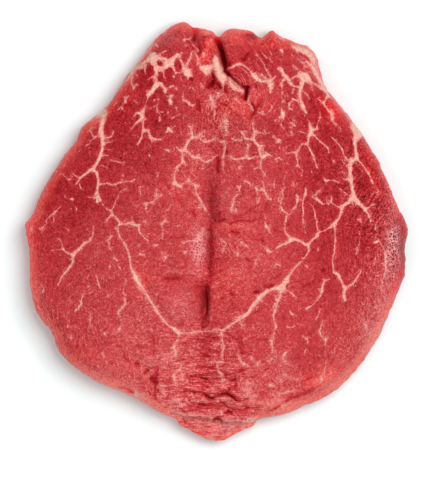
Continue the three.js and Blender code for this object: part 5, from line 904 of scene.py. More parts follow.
def fibre_shares(x, y):
    """How much each of six fixed directions counts at each vertex: the anchors' directions are averaged as doubled
    angles, with weights that fall off with distance, and compared with each fixed direction."""
    c, s, weight = np.zeros(x.shape), np.zeros(x.shape), np.full(x.shape, 1e-6)
    for fx, fy, degrees, strength in FIBRES:
        near = bell(np.hypot(x - fx, y - fy) / FIBRE_REACH)
        c += near * strength * np.cos(2 * np.radians(degrees))
        s += near * strength * np.sin(2 * np.radians(degrees))
        weight += near
    strength = np.hypot(c, s) / weight
    angle = np.arctan2(s, c)
    turns = np.arange(FIBRE_TURNS) * 2 * np.pi / FIBRE_TURNS
    shares = np.clip(np.cos(angle[..., None] - turns), 0, 1) ** 3
    return shares / shares.sum(-1, keepdims=True) * strength[..., None]


FAN_HUB = (5.2, 51.0)  # the fibres of the torn fan run round this place
FAN_EDGE = ((5.0, 54.4), (9.4, 50.2))  # under this edge they run along it
FAN_MIDDLE = (7.8, 53.6)
FAN_REACH = 4.2


def fan_stripes(x, y):
    """A distance that grows across the fibres of the fan, and how strongly they show: the distance from the hub
    above the edge, and the distance from the edge's line under it."""
    (ax, ay), (bx, by) = FAN_EDGE
    beside = ((x - ax) * (by - ay) - (y - ay) * (bx - ax)) / np.hypot(bx - ax, by - ay)
    at = np.where(beside < 0, np.hypot(x - FAN_HUB[0], y - FAN_HUB[1]), 20 - beside)
    far = np.hypot(x - FAN_MIDDLE[0], y - FAN_MIDDLE[1])
    return np.stack([at, 1 - smooth(FAN_REACH - 0.8, FAN_REACH + 0.8, far), 0 * at], -1)


def wrinkles(x, y):
    """Fine folds across the hinge, 1 at the bottom of each: where smooth noise, stretched along X and bent, is near
    zero, times the zones."""
    bent = y + 1.6 * lattice_noise(x, y, 8.0, 21)
    level = lattice_noise(x / 4.5, bent, 1.6, 22)
    return np.clip(1 - np.abs(level) / 0.3, 0, 1) ** 2 * np.clip(zone_sum(x, y, WRINKLE_ZONES), 0, 1)


def fine_relief(x, y, inside, fat, crease):
    """Lumps less the wrinkles and the small creases, plus low ridges where the fat is wide and a slight dip beside it.
    """
    lumps = 0.16 * lattice_noise(x, y, 5.5, 11) + 0.1 * lattice_noise(x, y, 2.6, 12)
    lumps += 0.05 * lattice_noise(x, y, 1.3, 13)
    offset, _, depth, _ = crease
    cut = depth * bell(np.hypot(offset[..., 0], offset[..., 1]) / np.maximum(offset[..., 2], 0.3))
    fat_offset, fat_reach = fat[:2]
    in_fat = smooth(0.15, -0.25, fat_reach - fat_offset[..., 2])
    beside = bell((fat_reach - fat_offset[..., 2] - 0.35) / 0.35)
    lumps -= 0.3 * wrinkles(x, y)
    return (lumps + 0.14 * in_fat * np.minimum(fat_offset[..., 2], 1) - 0.05 * beside - cut) * smooth(0, 1.4, inside)


def board_line(loop):
    """Where the rim meets the board: the border eased by a moving average along its length and drawn in."""
    closed = np.vstack([loop, loop[:1]])
    run = np.concatenate([[0], np.cumsum(np.hypot(*np.diff(closed, axis=0).T))])
    samples = 1600
    even = np.linspace(0, run[-1], samples, endpoint=False)
    line = np.stack([np.interp(even, run, closed[:, k]) for k in (0, 1)], axis=-1)
    span = max(1, round(9 / run[-1] * samples))
    eased = sum(np.roll(line, k, axis=0) for k in range(-span, span + 1)) / (2 * span + 1)
    along = np.roll(line, -span, axis=0) - np.roll(line, span, axis=0)
    along /= np.hypot(*along.T)[:, None]
    drawn = eased + RIM_TUCK * np.stack([-along[:, 1], along[:, 0]], axis=-1)
    again = np.vstack([drawn, drawn[:1]])
    places = np.append(even, run[-1])
    return np.stack([np.interp(run[:-1], places, again[:, k]) for k in (0, 1)], axis=-1)


def filet_surface(sizes):
    """The closed surface: a grid for the cut face, rings down the rim, rings and a hub under it. Returns positions
    in millimetres, faces, and the marks of fat, creases and zones for each vertex."""
    u = spread(CELLS_ACROSS, rim_density)
    v = spread(CELLS_ALONG, lambda s: rim_density(s) + HEAD_DETAIL * smooth(0.78, 0.86, s))
    face = plan(u, v)
    x, y = face[..., 0], face[..., 1]
    inside = distance_inside(x, y)
    uneven = RIM_UNEVENNESS * np.exp(-inside / 2.5)
    x = x + uneven * (lattice_noise(x, y, 3.1, 31) + 0.6 * lattice_noise(x, y, 1.4, 32))
    y = y + uneven * (lattice_noise(x, y, 3.1, 33) + 0.6 * lattice_noise(x, y, 1.4, 34))
    border_mask = np.zeros(x.shape, bool)
    border_mask[[0, -1], :] = border_mask[:, [0, -1]] = True
    flat_x, flat_y = x.ravel(), y.ravel()
    fat = line_field(flat_x, flat_y, [(s[0], s[1], 1, path_of(s[2:])) for s in FAT_STRANDS])
    creases = [(2 * s[1], 2 * s[1], s[0], path_of(s[2:])) for s in SMALL_CREASES]
    creases += [(2 * s[1], 2 * s[2], s[0], path_of(s[3:])) for s in DEEP_CUTS]
    crease = line_field(flat_x, flat_y, creases)
    share = rim_share(x, y, inside)
    fine = fine_relief(flat_x, flat_y, inside.ravel(), fat, crease).reshape(x.shape) * sizes.relief
    top = mix(WAIST_HEIGHT, body_height(x, y, sizes), share) + (large_relief(x, y) + fine) * share
    z = np.where(border_mask, WAIST_HEIGHT, np.maximum(top, 1.2))

    rows, columns = z.shape
    index = np.arange(rows * columns).reshape(rows, columns)
    quads = [np.stack([index[:-1, :-1], index[:-1, 1:], index[1:, 1:], index[1:, :-1]], -1).reshape(-1, 4)]
    border = np.concatenate([index[0, :-1], index[:-1, -1], index[-1, :0:-1], index[:0:-1, 0]])
    points = [np.stack([x, y, z], -1).reshape(-1, 3)]
    loop = points[0][border, :2]
    board = board_line(loop)
    hub = np.array(GRID_CENTRE, float)
    upper, count, total = border, len(border), rows * columns
    turns = [(k / RIM_RINGS) * np.pi / 2 for k in range(1, RIM_RINGS + 1)]
    rings = [(mix(loop, board, 1 - np.cos(t)), WAIST_HEIGHT * (1 - np.sin(t))) for t in turns]
    rings += [(mix(board, hub, inward), 0.0) for inward in np.linspace(0, 1, BASE_RINGS + 2)[1:-1]]
    for flat, height in rings:
        points.append(np.column_stack([flat, np.full(count, height)]))
        lower = total + np.arange(count)
        total += count
        quads.append(np.stack([upper, lower, np.roll(lower, -1), np.roll(upper, -1)], -1))
        upper = lower
    points.append(np.array([[hub[0], hub[1], 0.0]]))
    fan = np.stack([np.full(count, total), np.roll(upper, -1), upper], -1)
    positions = np.concatenate(points)

    edge_x, edge_y = positions[:, 0], positions[:, 1]
    below = len(positions) - rows * columns

    def padded(array, fill):
        return np.concatenate([array, np.full((below,) + array.shape[1:], fill, float)])

    rim = np.concatenate([(inside * (1 + zone_sum(x, y, NARROW_LIT_RIM_ZONES))).ravel(), np.zeros(below)])
    marks = {
        "fat_line": padded(fat[0], 0) + np.where(np.arange(len(positions)) < rows * columns, 0, UNMARKED)[:, None] * [1, 0, 0],
        "fat_reach": padded(fat[1], UNMARKED),
        "crease_line": padded(crease[0], 0) + np.where(np.arange(len(positions)) < rows * columns, 0, UNMARKED)[:, None] * [1, 0, 0],
        "web": padded(fat[3], 0),
        "crease_reach": padded(crease[1], UNMARKED),
        "crease_depth": padded(crease[2], 0),
        "tint": np.clip(np.stack([zone_sum(edge_x, edge_y, z) for z in (DARK_AND_SHADE_ZONES, FILM_AND_SHEEN_ZONES, WARM_AND_LIT_ZONES)], -1), 0, 1),
        "cells": np.clip(zone_sum(edge_x, edge_y, CELL_ZONES), 0, 1),
        "tone": zone_sum(edge_x, edge_y, TONE_AND_PAINTED_LIGHT_ZONES) - 0.1 * smooth(WAIST_HEIGHT + 1, 0, positions[:, 2]),
        "wrinkle_shade": wrinkles(edge_x, edge_y),
        "painted_light_and_shade": zone_sum(edge_x, edge_y, PAINTED_LIGHT_AND_SHADE_ZONES),
        "contrast": 0.8 + zone_sum(edge_x, edge_y, CONTRAST_ZONES),
        "fan": fan_stripes(edge_x, edge_y),
        "rim": rim,
    }
    shares = fibre_shares(edge_x, edge_y)
    marks["fibre_a"], marks["fibre_b"] = shares[:, :3], shares[:, 3:]
    return positions, np.concatenate(quads), fan, marks


def fit_to_box(positions, low, high):
    """Moves each side of the shape that stands outside the box back to it, by an even scale on each axis."""
    for axis in range(3):
        values = positions[:, axis]
        place = (values - values.min()) / (values.max() - values.min())
        bottom, top = max(values.min(), low[axis] / MM), min(values.max(), high[axis] / MM)
        positions[:, axis] = mix(bottom, top, place)
    return positions


def mesh_from(name, positions, quads, fan, marks):
    """One mesh from quads and triangles, with its marks as vertex attributes."""
    mesh = bpy.data.meshes.new(name)
    loops = np.concatenate([quads.ravel(), fan.ravel()])
    starts = np.concatenate([np.arange(len(quads)) * 4, len(quads) * 4 + np.arange(len(fan)) * 3])
    mesh.vertices.add(len(positions))
    mesh.vertices.foreach_set("co", (positions * MM).astype(np.float32).ravel())
    mesh.loops.add(len(loops))
    mesh.loops.foreach_set("vertex_index", loops.astype(np.int32))
    mesh.polygons.add(len(starts))
    mesh.polygons.foreach_set("loop_start", starts.astype(np.int32))
    mesh.update(calc_edges=True)
    mesh.shade_smooth()
    for key, values in marks.items():
        vector = values.ndim == 2
        layer = mesh.attributes.new(key, "FLOAT_VECTOR" if vector else "FLOAT", "POINT")
        layer.data.foreach_set("vector" if vector else "value", values.astype(np.float32).ravel())
    if mesh.validate():
        raise RuntimeError(f"{name} has faces that Blender had to repair")
    return mesh


# -------------------------------------------------------------------------------------------------- materials
def node_at(tree, kind, **settings):
    """A new node with its settings and the default values of its sockets."""
    node = tree.nodes.new(kind)
    for key, value in settings.items():
        if key.startswith("in_"):
            node.inputs[int(key[3:])].default_value = value
        else:
            setattr(node, key, value)
    return node


class Wiring:
    """Short ways to add the nodes that a material or a group is made of."""

    def __init__(self, tree):
        self.tree = tree

    def link(self, source, target):
        self.tree.links.new(source, target)

    def math(self, operation, a, b=None, c=None, clamp=False):
        node = node_at(self.tree, "ShaderNodeMath", operation=operation, use_clamp=clamp)
        for socket, value in zip(node.inputs, (a, b, c)):
            if value is None:
                continue
            if isinstance(value, (int, float)):
                socket.default_value = value
            else:
                self.link(value, socket)
        return node.outputs[0]

    def ramp(self, value, low, high, to_low=0.0, to_high=1.0, kind="SMOOTHSTEP"):
        node = node_at(self.tree, "ShaderNodeMapRange", interpolation_type=kind)
        for socket, given in zip(node.inputs, (value, low, high, to_low, to_high)):
            if isinstance(given, (int, float)):
                socket.default_value = given
            else:
                self.link(given, socket)
        return node.outputs[0]

    def attribute(self, name, output="Fac"):
        node = node_at(self.tree, "ShaderNodeAttribute", attribute_name=name)
        return node.outputs[output]

    def split(self, vector):
        node = node_at(self.tree, "ShaderNodeSeparateXYZ")
        self.link(vector, node.inputs[0])
        return node.outputs

    def noise(self, place, scale, detail=2.0, roughness=0.5, distortion=0.0):
        node = node_at(self.tree, "ShaderNodeTexNoise")
        node.inputs["Distortion"].default_value = distortion
        self.link(place, node.inputs["Vector"])
        node.inputs["Scale"].default_value = scale
        node.inputs["Detail"].default_value = detail
        node.inputs["Roughness"].default_value = roughness
        return node.outputs[0]

    def blend(self, share, a, b):
        node = node_at(self.tree, "ShaderNodeMix", data_type="RGBA")
        for socket, value in ((node.inputs[0], share), (node.inputs[6], a), (node.inputs[7], b)):
            if isinstance(value, (int, float, tuple)):
                socket.default_value = value
            else:
                self.link(value, socket)
        return node.outputs[2]


def new_group(name, inputs, outputs):
    """A shader node group with float, vector or colour sockets."""
    group = bpy.data.node_groups.new(name, "ShaderNodeTree")
    for socket, kind in inputs:
        group.interface.new_socket(name=socket, in_out="INPUT", socket_type=kind)
    for socket, kind in outputs:
        group.interface.new_socket(name=socket, in_out="OUTPUT", socket_type=kind)
    source = group.nodes.new("NodeGroupInput")
    target = group.nodes.new("NodeGroupOutput")
    return group, source, target


def line_gap_group():
    """Distance from the edge of the nearest drawn line, in millimetres, less than 0 on the line. The offset to its
    middle gives a line thinner than a cell of the mesh, and the true distance keeps false lines away."""
    group, source, target = new_group(
        "Line Gap",
        [("Line", "NodeSocketVector"), ("Reach", "NodeSocketFloat"), ("Wobble", "NodeSocketFloat")],
        [("Gap", "NodeSocketFloat")],
    )
    w = Wiring(group)
    x, y, half = w.split(source.outputs["Line"])
    across = w.math("SQRT", w.math("ADD", w.math("MULTIPLY", x, x), w.math("MULTIPLY", y, y)))
    far = w.math("MAXIMUM", across, w.math("SUBTRACT", source.outputs["Reach"], 0.32))
    w.link(w.math("ADD", w.math("SUBTRACT", far, half), source.outputs["Wobble"]), target.inputs["Gap"])
    return group


def fibre_group():
    """Streaks that follow the fibres: six stretched noises in fixed directions, each counted by its share."""
    group, source, target = new_group(
        "Fibre",
        [("Place", "NodeSocketVector"), ("Shares A", "NodeSocketVector"), ("Shares B", "NodeSocketVector")],
        [("Streaks", "NodeSocketFloat")],
    )
    w = Wiring(group)
    shares = list(w.split(source.outputs["Shares A"])) + list(w.split(source.outputs["Shares B"]))
    total = None
    for k, share in enumerate(shares):
        turn = node_at(group, "ShaderNodeMapping", vector_type="TEXTURE")
        turn.inputs["Rotation"].default_value[2] = k * np.pi / FIBRE_TURNS
        turn.inputs["Scale"].default_value = (3.6, 0.5, 1.0)
        turn.inputs["Location"].default_value = (k * 3.1, k * 7.7, 0)
        w.link(source.outputs["Place"], turn.inputs["Vector"])
        streak = w.math("SUBTRACT", w.noise(turn.outputs[0], 1.0, 2.0, 0.6), 0.5)
        part = w.math("MULTIPLY", streak, share)
        total = part if total is None else w.math("ADD", total, part)
    w.link(total, target.inputs["Streaks"])
    return group


def bundle_group():
    """Bundles of fibres: cells with a random direction each, a stretched noise inside turned that way, and the
    random value of each cell."""
    group, source, target = new_group(
        "Bundles",
        [("Place", "NodeSocketVector"), ("Size", "NodeSocketFloat")],
        [("Streaks", "NodeSocketFloat"), ("Chance", "NodeSocketFloat")],
    )
    w = Wiring(group)
    bundle = node_at(group, "ShaderNodeTexVoronoi", feature="F1")
    w.link(source.outputs["Place"], bundle.inputs["Vector"])
    w.link(source.outputs["Size"], bundle.inputs["Scale"])
    chance = w.split(bundle.outputs["Color"])[0]
    turn = node_at(group, "ShaderNodeVectorRotate", rotation_type="Z_AXIS")
    w.link(source.outputs["Place"], turn.inputs["Vector"])
    w.link(bundle.outputs["Position"], turn.inputs["Center"])
    w.link(w.math("MULTIPLY", chance, np.pi), turn.inputs["Angle"])
    stretch = node_at(group, "ShaderNodeVectorMath", operation="MULTIPLY")
    w.link(turn.outputs[0], stretch.inputs[0])
    stretch.inputs[1].default_value = (0.6, 2.3, 1.0)
    w.link(w.math("SUBTRACT", w.noise(stretch.outputs[0], 1.0, 2.0, 0.55), 0.5), target.inputs["Streaks"])
    w.link(chance, target.inputs["Chance"])
    return group


def meat_material(colours):
    """Raw beef: a ramp from deep red to pale fat driven by mottling, a net of cells, fibres and fat, with painted shade
    in the creases, warmer rims that are partly painted light, a film with painted sheen in places and broad painted
    light and shade, wet enough to shine."""
    material = bpy.data.materials.new("Raw Beef")
    material.use_nodes = True
    tree = material.node_tree
    shader = tree.nodes["Principled BSDF"]
    w = Wiring(tree)
    coordinates = node_at(tree, "ShaderNodeTexCoord")
    scale = node_at(tree, "ShaderNodeVectorMath", operation="SCALE")
    w.link(coordinates.outputs["Object"], scale.inputs[0])
    scale.inputs["Scale"].default_value = 1 / MM
    place = scale.outputs[0]

    wobble = w.math("MULTIPLY", w.math("SUBTRACT", w.noise(place, 1.4, 4.0, 0.8), 0.5), 1.0)
    gaps = []
    for key in ("fat", "crease"):
        group = node_at(tree, "ShaderNodeGroup", node_tree=GROUPS["Line Gap"])
        w.link(w.attribute(f"{key}_line", "Vector"), group.inputs["Line"])
        w.link(w.attribute(f"{key}_reach"), group.inputs["Reach"])
        w.link(wobble, group.inputs["Wobble"])
        gaps.append(group.outputs["Gap"])
    fat_gap, crease_gap = gaps
    fat_gap = w.math("SUBTRACT", fat_gap, w.math("MULTIPLY", w.attribute("web"), 0.3))
    fat_mask = w.ramp(fat_gap, 0.16, -0.16)
    faint = w.math("MULTIPLY", w.ramp(w.noise(place, 0.5, 2.0), 0.6, 0.4), w.ramp(fat_gap, -0.5, -0.1))
    fat_mask = w.math("MULTIPLY", fat_mask, w.math("SUBTRACT", 1.0, w.math("MULTIPLY", faint, 0.3)))
    fat_core = w.ramp(fat_gap, 0.0, -0.8)
    # Painted shade in the cracks and cuts: a dark bottom and a soft shade beside it, stronger where the crease is
    # deeper, over the cuts in the mesh.
    crease_and_shade_edge = w.math("ADD", w.math("MULTIPLY", w.ramp(crease_gap, 0.12, -0.3), 0.8), w.math("MULTIPLY", w.ramp(crease_gap, 0.9, -0.1), 0.2))
    crease_and_shade_mask = w.math("MULTIPLY", crease_and_shade_edge, w.ramp(w.attribute("crease_depth"), 0.0, 1.4, 0.25, 1.0, "LINEAR"))

    # The net of cells: pale lines between darker middles, warped a little.
    warp = node_at(tree, "ShaderNodeTexNoise")
    w.link(place, warp.inputs["Vector"])
    warp.inputs["Scale"].default_value = 0.8
    shifted = node_at(tree, "ShaderNodeVectorMath", operation="MULTIPLY_ADD")
    w.link(warp.outputs["Color"], shifted.inputs[0])
    shifted.inputs[1].default_value = (1.4, 1.4, 1.4)
    w.link(place, shifted.inputs[2])
    cells = node_at(tree, "ShaderNodeTexVoronoi", feature="DISTANCE_TO_EDGE")
    w.link(shifted.outputs[0], cells.inputs["Vector"])
    cells.inputs["Scale"].default_value = 0.62
    net = w.ramp(cells.outputs["Distance"], 0.16, 0.0)
    net_patchy = w.math("MULTIPLY", net, w.ramp(w.noise(place, 0.5, 3.0, 0.7), 0.42, 0.66))
    cell_strength = w.attribute("cells")
    lobes = node_at(tree, "ShaderNodeTexVoronoi", feature="DISTANCE_TO_EDGE")
    w.link(shifted.outputs[0], lobes.inputs["Vector"])
    lobes.inputs["Scale"].default_value = 0.21
    lobe_net = w.math("MULTIPLY", w.ramp(lobes.outputs["Distance"], 0.05, 0.0), w.ramp(w.noise(place, 0.3, 3.0, 0.7), 0.4, 0.6))

    # Single pale specks: the middles of a few of the small cells.
    specks = node_at(tree, "ShaderNodeTexVoronoi", feature="F1")
    w.link(shifted.outputs[0], specks.inputs["Vector"])
    specks.inputs["Scale"].default_value = 0.8
    chosen = w.math("GREATER_THAN", w.split(specks.outputs["Color"])[1], 0.94)
    speck_size = w.ramp(w.split(specks.outputs["Color"])[2], 0.0, 1.0, 0.06, 0.26, "LINEAR")
    speck = w.math("MULTIPLY", w.ramp(w.math("SUBTRACT", specks.outputs["Distance"], speck_size), 0.1, -0.05), chosen)
    speck = w.math("MULTIPLY", speck, w.ramp(cell_strength, 0.0, 1.0, 0.2, 0.8, "LINEAR"))

    fibre = node_at(tree, "ShaderNodeGroup", node_tree=GROUPS["Fibre"])
    w.link(place, fibre.inputs["Place"])
    w.link(w.attribute("fibre_a", "Vector"), fibre.inputs["Shares A"])
    w.link(w.attribute("fibre_b", "Vector"), fibre.inputs["Shares B"])
    streaks = fibre.outputs["Streaks"]
    bundles = node_at(tree, "ShaderNodeGroup", node_tree=GROUPS["Bundles"])
    w.link(shifted.outputs[0], bundles.inputs["Place"])
    bundles.inputs["Size"].default_value = 0.3
    hairs = []
    for size, warp_by, width in ((0.3, 1.2, 0.011), (0.42, 0.8, 0.014)):
        level = w.math("ABSOLUTE", w.math("SUBTRACT", w.noise(place, size, 1.0, 0.5, warp_by), 0.5))
        hairs.append(w.math("MULTIPLY", w.ramp(level, width, 0.0), w.ramp(w.noise(place, size * 0.6, 2.0), 0.42, 0.56)))
    strokes = bundles.outputs["Streaks"]

    clouds = w.math("SUBTRACT", w.noise(place, 0.42, 4.0, 0.62, 2.2), 0.5)
    grain = w.math("SUBTRACT", w.noise(place, 1.9, 2.0, 0.6), 0.5)
    threads = w.math("ADD", w.math("MULTIPLY", streaks, 1.3), strokes)
    threads = w.math("ADD", threads, w.math("MULTIPLY", grain, w.ramp(cell_strength, 0.0, 1.0, 0.45, 0.75, "LINEAR")))
    pits = w.ramp(threads, -0.06, -0.26)
    fine = w.math("MULTIPLY", threads, 0.5)
    fan = w.split(w.attribute("fan", "Vector"))
    stripe_place = node_at(tree, "ShaderNodeCombineXYZ")
    w.link(fan[0], stripe_place.inputs[0])
    stripes = w.math("MULTIPLY", w.math("SUBTRACT", w.noise(stripe_place.outputs[0], 2.6, 1.0), 0.5), fan[1])
    fine = w.math("ADD", fine, w.math("MULTIPLY", stripes, 1.5))

    tone = w.math("ADD", w.attribute("tone"), 0.46)
    for part, amount in ((clouds, 0.38), (fine, w.attribute("contrast"))):
        tone = w.math("ADD", tone, w.math("MULTIPLY", part, amount))
    # The bottoms of the wrinkles are painted darker: painted shade over their folds in the mesh.
    tone = w.math("SUBTRACT", tone, w.math("MULTIPLY", w.attribute("wrinkle_shade"), 0.3))
    tone = w.math("ADD", tone, w.math("MULTIPLY", w.math("MULTIPLY", net_patchy, cell_strength), 0.14))
    tone = w.math("ADD", tone, w.math("ADD", w.math("MULTIPLY", lobe_net, 0.1), w.math("MULTIPLY", hairs[1], 0.12)))
    tint = w.split(w.attribute("tint", "Vector"))
    # The darker zones lower the tone: partly purple meat, partly painted shade.
    tone = w.math("SUBTRACT", tone, w.math("MULTIPLY", tint[0], 0.3))
    beside = w.math("MULTIPLY", w.ramp(fat_gap, 1.0, 0.0), w.ramp(w.noise(place, 0.45, 2.0), 0.4, 0.62, 0.02, 0.13))
    tone = w.math("ADD", tone, beside)
    tone = w.math("ADD", tone, w.math("MULTIPLY", w.math("SUBTRACT", 0.86, tone), speck))
    fat_tone = w.math("ADD", w.ramp(fat_core, 0.0, 1.0, 0.76, 0.93, "LINEAR"), w.math("MULTIPLY", grain, 0.4))
    fat_tone = w.math("ADD", fat_tone, w.math("ADD", w.math("MULTIPLY", stripes, 1.2), w.math("MULTIPLY", clouds, 0.4)))
    fat_tone = w.math("ADD", fat_tone, w.math("MULTIPLY", threads, 0.4))
    tone = w.math("ADD", tone, w.math("MULTIPLY", w.math("SUBTRACT", fat_tone, tone), fat_mask))
    # The creases darken everything, fat too: painted shade.
    tone = w.math("MULTIPLY", tone, w.math("SUBTRACT", 1.0, w.math("MULTIPLY", crease_and_shade_mask, 0.85)), clamp=True)

    colour = node_at(tree, "ShaderNodeValToRGB")
    w.link(tone, colour.inputs[0])
    stops = [(0.0, colours.deep), (0.24, colours.dark), (0.5, colours.meat), (0.76, colours.pale), (1.0, colours.fat)]
    ramp = colour.color_ramp
    while len(ramp.elements) < len(stops):
        ramp.elements.new(0.5)
    for element, (position, value) in zip(ramp.elements, stops):
        element.position = position
        element.color = (*value, 1)

    # Tints go over the ramp where there is no fat. The orange-red one keeps the light and dark of the texture; along
    # the rim and on the cleft walls it is partly painted light that lifts what slopes away from the key light.
    lean = w.math("SUBTRACT", 1.0, fat_mask)
    lit_rim_band = w.math("MULTIPLY", w.ramp(w.attribute("rim"), 4.6, 1.2), w.math("SUBTRACT", 0.85, tint[0]), clamp=True)
    warm_lit_share = w.math("MULTIPLY", w.math("MAXIMUM", w.math("MULTIPLY", tint[2], 0.75), lit_rim_band), lean, clamp=True)
    warm_lit_colour = w.blend(w.ramp(tone, 0.25, 0.8), (*colours.warm_lit, 1), (*colours.warm_lit_pale, 1))
    warm_lit = w.blend(warm_lit_share, colour.outputs[0], warm_lit_colour)
    # The film: a pale net over the meat, partly the moist membrane and partly painted sheen and glints.
    film = node_at(tree, "ShaderNodeTexVoronoi", feature="DISTANCE_TO_EDGE")
    w.link(shifted.outputs[0], film.inputs["Vector"])
    film.inputs["Scale"].default_value = 1.05
    film_net = w.ramp(film.outputs["Distance"], 0.15, 0.06, 0.04, 1.0)
    film_and_sheen_noise = w.ramp(w.noise(place, 0.35, 3.0, 0.6), 0.3, 0.62, 0.25, 1.0)
    film_net = w.math("MAXIMUM", film_net, w.ramp(threads, 0.06, 0.26))
    film_and_sheen_share = w.math("MULTIPLY", w.math("MULTIPLY", tint[1], film_and_sheen_noise), film_net, clamp=True)
    with_film_and_sheen = w.blend(film_and_sheen_share, warm_lit, (*colours.film_and_sheen, 1))
    # Fine strokes and cracks between the bundles that dim all three colours alike, and broad painted light and shade.
    speckle = w.math("SUBTRACT", w.noise(place, 2.4, 1.0), 0.5)
    dark_hair = w.math("MULTIPLY", hairs[0], 0.5)
    cracks = w.math("MULTIPLY", w.ramp(film.outputs["Distance"], 0.12, 0.0), w.ramp(w.noise(place, 0.7, 2.0), 0.38, 0.62))
    shade = w.math("ADD", w.math("MULTIPLY", speckle, 1.1), w.math("MULTIPLY", threads, 0.33))
    shade = w.math("SUBTRACT", shade, w.math("ADD", w.math("MULTIPLY", pits, 0.18), w.math("MULTIPLY", cracks, 0.26)))
    shade = w.math("MULTIPLY", w.math("ADD", shade, 0.05), w.attribute("contrast"))
    shade = w.math("ADD", w.math("SUBTRACT", shade, dark_hair), w.attribute("painted_light_and_shade"))
    calm = w.math("MULTIPLY", w.math("MAXIMUM", fat_mask, w.ramp(tint[1], 0.0, 0.5)), 0.8)
    shade = w.math("ADD", 1.0, w.math("MULTIPLY", shade, w.math("SUBTRACT", 1.0, calm)))
    shaded = node_at(tree, "ShaderNodeVectorMath", operation="SCALE")
    w.link(with_film_and_sheen, shaded.inputs[0])
    w.link(shade, shaded.inputs["Scale"])
    w.link(shaded.outputs[0], shader.inputs["Base Color"])
    w.link(w.ramp(tint[1], 0.1, 0.8, 0.0, 0.08), shader.inputs["Coat Weight"])
    shader.inputs["Coat Roughness"].default_value = 0.1
    shader.inputs["Coat IOR"].default_value = 1.4

    rough = w.ramp(w.noise(place, 0.6, 3.0), 0.3, 0.7, 0.24, 0.36, "LINEAR")
    w.link(w.math("ADD", rough, w.math("MULTIPLY", fat_mask, 0.08)), shader.inputs["Roughness"])
    shader.inputs["Specular IOR Level"].default_value = 0.08
    shader.inputs["IOR"].default_value = 1.42

    height = w.math("ADD", w.math("MULTIPLY", grain, 0.4), w.math("MULTIPLY", clouds, 0.6))
    height = w.math("ADD", height, w.math("MULTIPLY", streaks, 0.7))
    height = w.math("ADD", height, w.math("MULTIPLY", strokes, 0.5))
    height = w.math("SUBTRACT", height, w.math("MULTIPLY", w.math("MULTIPLY", net, cell_strength), 0.12))
    height = w.math("ADD", height, w.math("MULTIPLY", fat_mask, 0.25))
    height = w.math("SUBTRACT", height, w.math("MULTIPLY", crease_and_shade_mask, 0.4))
    bump = node_at(tree, "ShaderNodeBump")
    bump.inputs["Strength"].default_value = 0.7
    bump.inputs["Distance"].default_value = 0.5 * MM
    w.link(height, bump.inputs["Height"])
    w.link(bump.outputs[0], shader.inputs["Normal"])
    return material


TABLE_TINT = 0.912  # red of the table as a share of its green and blue


def table_material(brightness):
    """A matt white table with a faint unevenness."""
    material = bpy.data.materials.new("White Table")
    material.use_nodes = True
    tree = material.node_tree
    shader = tree.nodes["Principled BSDF"]
    w = Wiring(tree)
    coordinates = node_at(tree, "ShaderNodeTexCoord")
    speck = w.noise(coordinates.outputs["Object"], 40.0, 3.0)
    low, high = brightness * 0.98, min(1.0, brightness * 1.01)
    cool = TABLE_TINT
    w.link(w.blend(speck, (low * cool, low, low, 1), (high * cool, high, high, 1)), shader.inputs["Base Color"])
    shader.inputs["Roughness"].default_value = 0.9
    shader.inputs["Specular IOR Level"].default_value = 0.1
    return material


def studio_world(strength):
    """Even white light, dimmer straight overhead so that the wet meat keeps its depth."""
    world = bpy.data.worlds.new("studio")
    world.use_nodes = True
    tree = world.node_tree
    w = Wiring(tree)
    place = node_at(tree, "ShaderNodeTexCoord")
    up = w.split(place.outputs["Generated"])[2]
    background = tree.nodes["Background"]
    background.inputs["Color"].default_value = (1, 1, 1, 1)
    w.link(w.ramp(up, 0.75, 0.97, strength * 1.15, strength * 0.45), background.inputs["Strength"])
    return world


GROUPS = {}


# ------------------------------------------------------------------------------------- settings and operators
def linear(*rgb):
    """Screen colour from 0 to 255 as linear light from 0 to 1."""
    return tuple(((c / 255 + 0.055) / 1.055) ** 2.4 if c > 10 else c / 255 / 12.92 for c in rgb)


def colour_setting(name, description, rgb):
    """A colour that the user can change."""
    return bpy.props.FloatVectorProperty(
        name=name, description=description, subtype="COLOR", size=3, min=0, max=1, default=linear(*rgb)
    )


class FiletSizes(bpy.types.PropertyGroup):
    """Sizes of the meat that a user would change."""

    body_height: bpy.props.FloatProperty(
        name="Body height", description="Top of each half above the table", default=BODY_HEIGHT * MM, unit="LENGTH"
    )
    relief: bpy.props.FloatProperty(
        name="Relief", description="Strength of the small lumps, ridges and cracks", default=1.0, subtype="FACTOR"
    )


class FiletColours(bpy.types.PropertyGroup):
    """Colours of the meat."""

    # Deep: the colour of the painted shade at the bottom of the cuts.
    deep: colour_setting("Deep", "Bottom of the cuts", (112, 0, 12))
    dark: colour_setting("Dark meat", "Middles of the darkest cells", (145, 14, 24))
    meat: colour_setting("Meat", "The lean meat", (177, 54, 57))
    pale: colour_setting("Pale meat", "The net between the cells", (204, 121, 116))
    fat: colour_setting("Fat", "Marbling and seams", (220, 172, 152))
    # The rim colours are partly the meat's orange-red and partly painted light on the rim.
    warm_lit: colour_setting("Warm rim", "Darker parts of the smooth orange-red meat near the rim", (214, 18, 20))
    warm_lit_pale: colour_setting("Warm rim, light", "Lighter parts of the same", (240, 128, 116))
    # The film colour is partly the membrane and partly painted sheen.
    film_and_sheen: colour_setting("Frosted sheen", "Moist purple-pink film", (232, 164, 166))


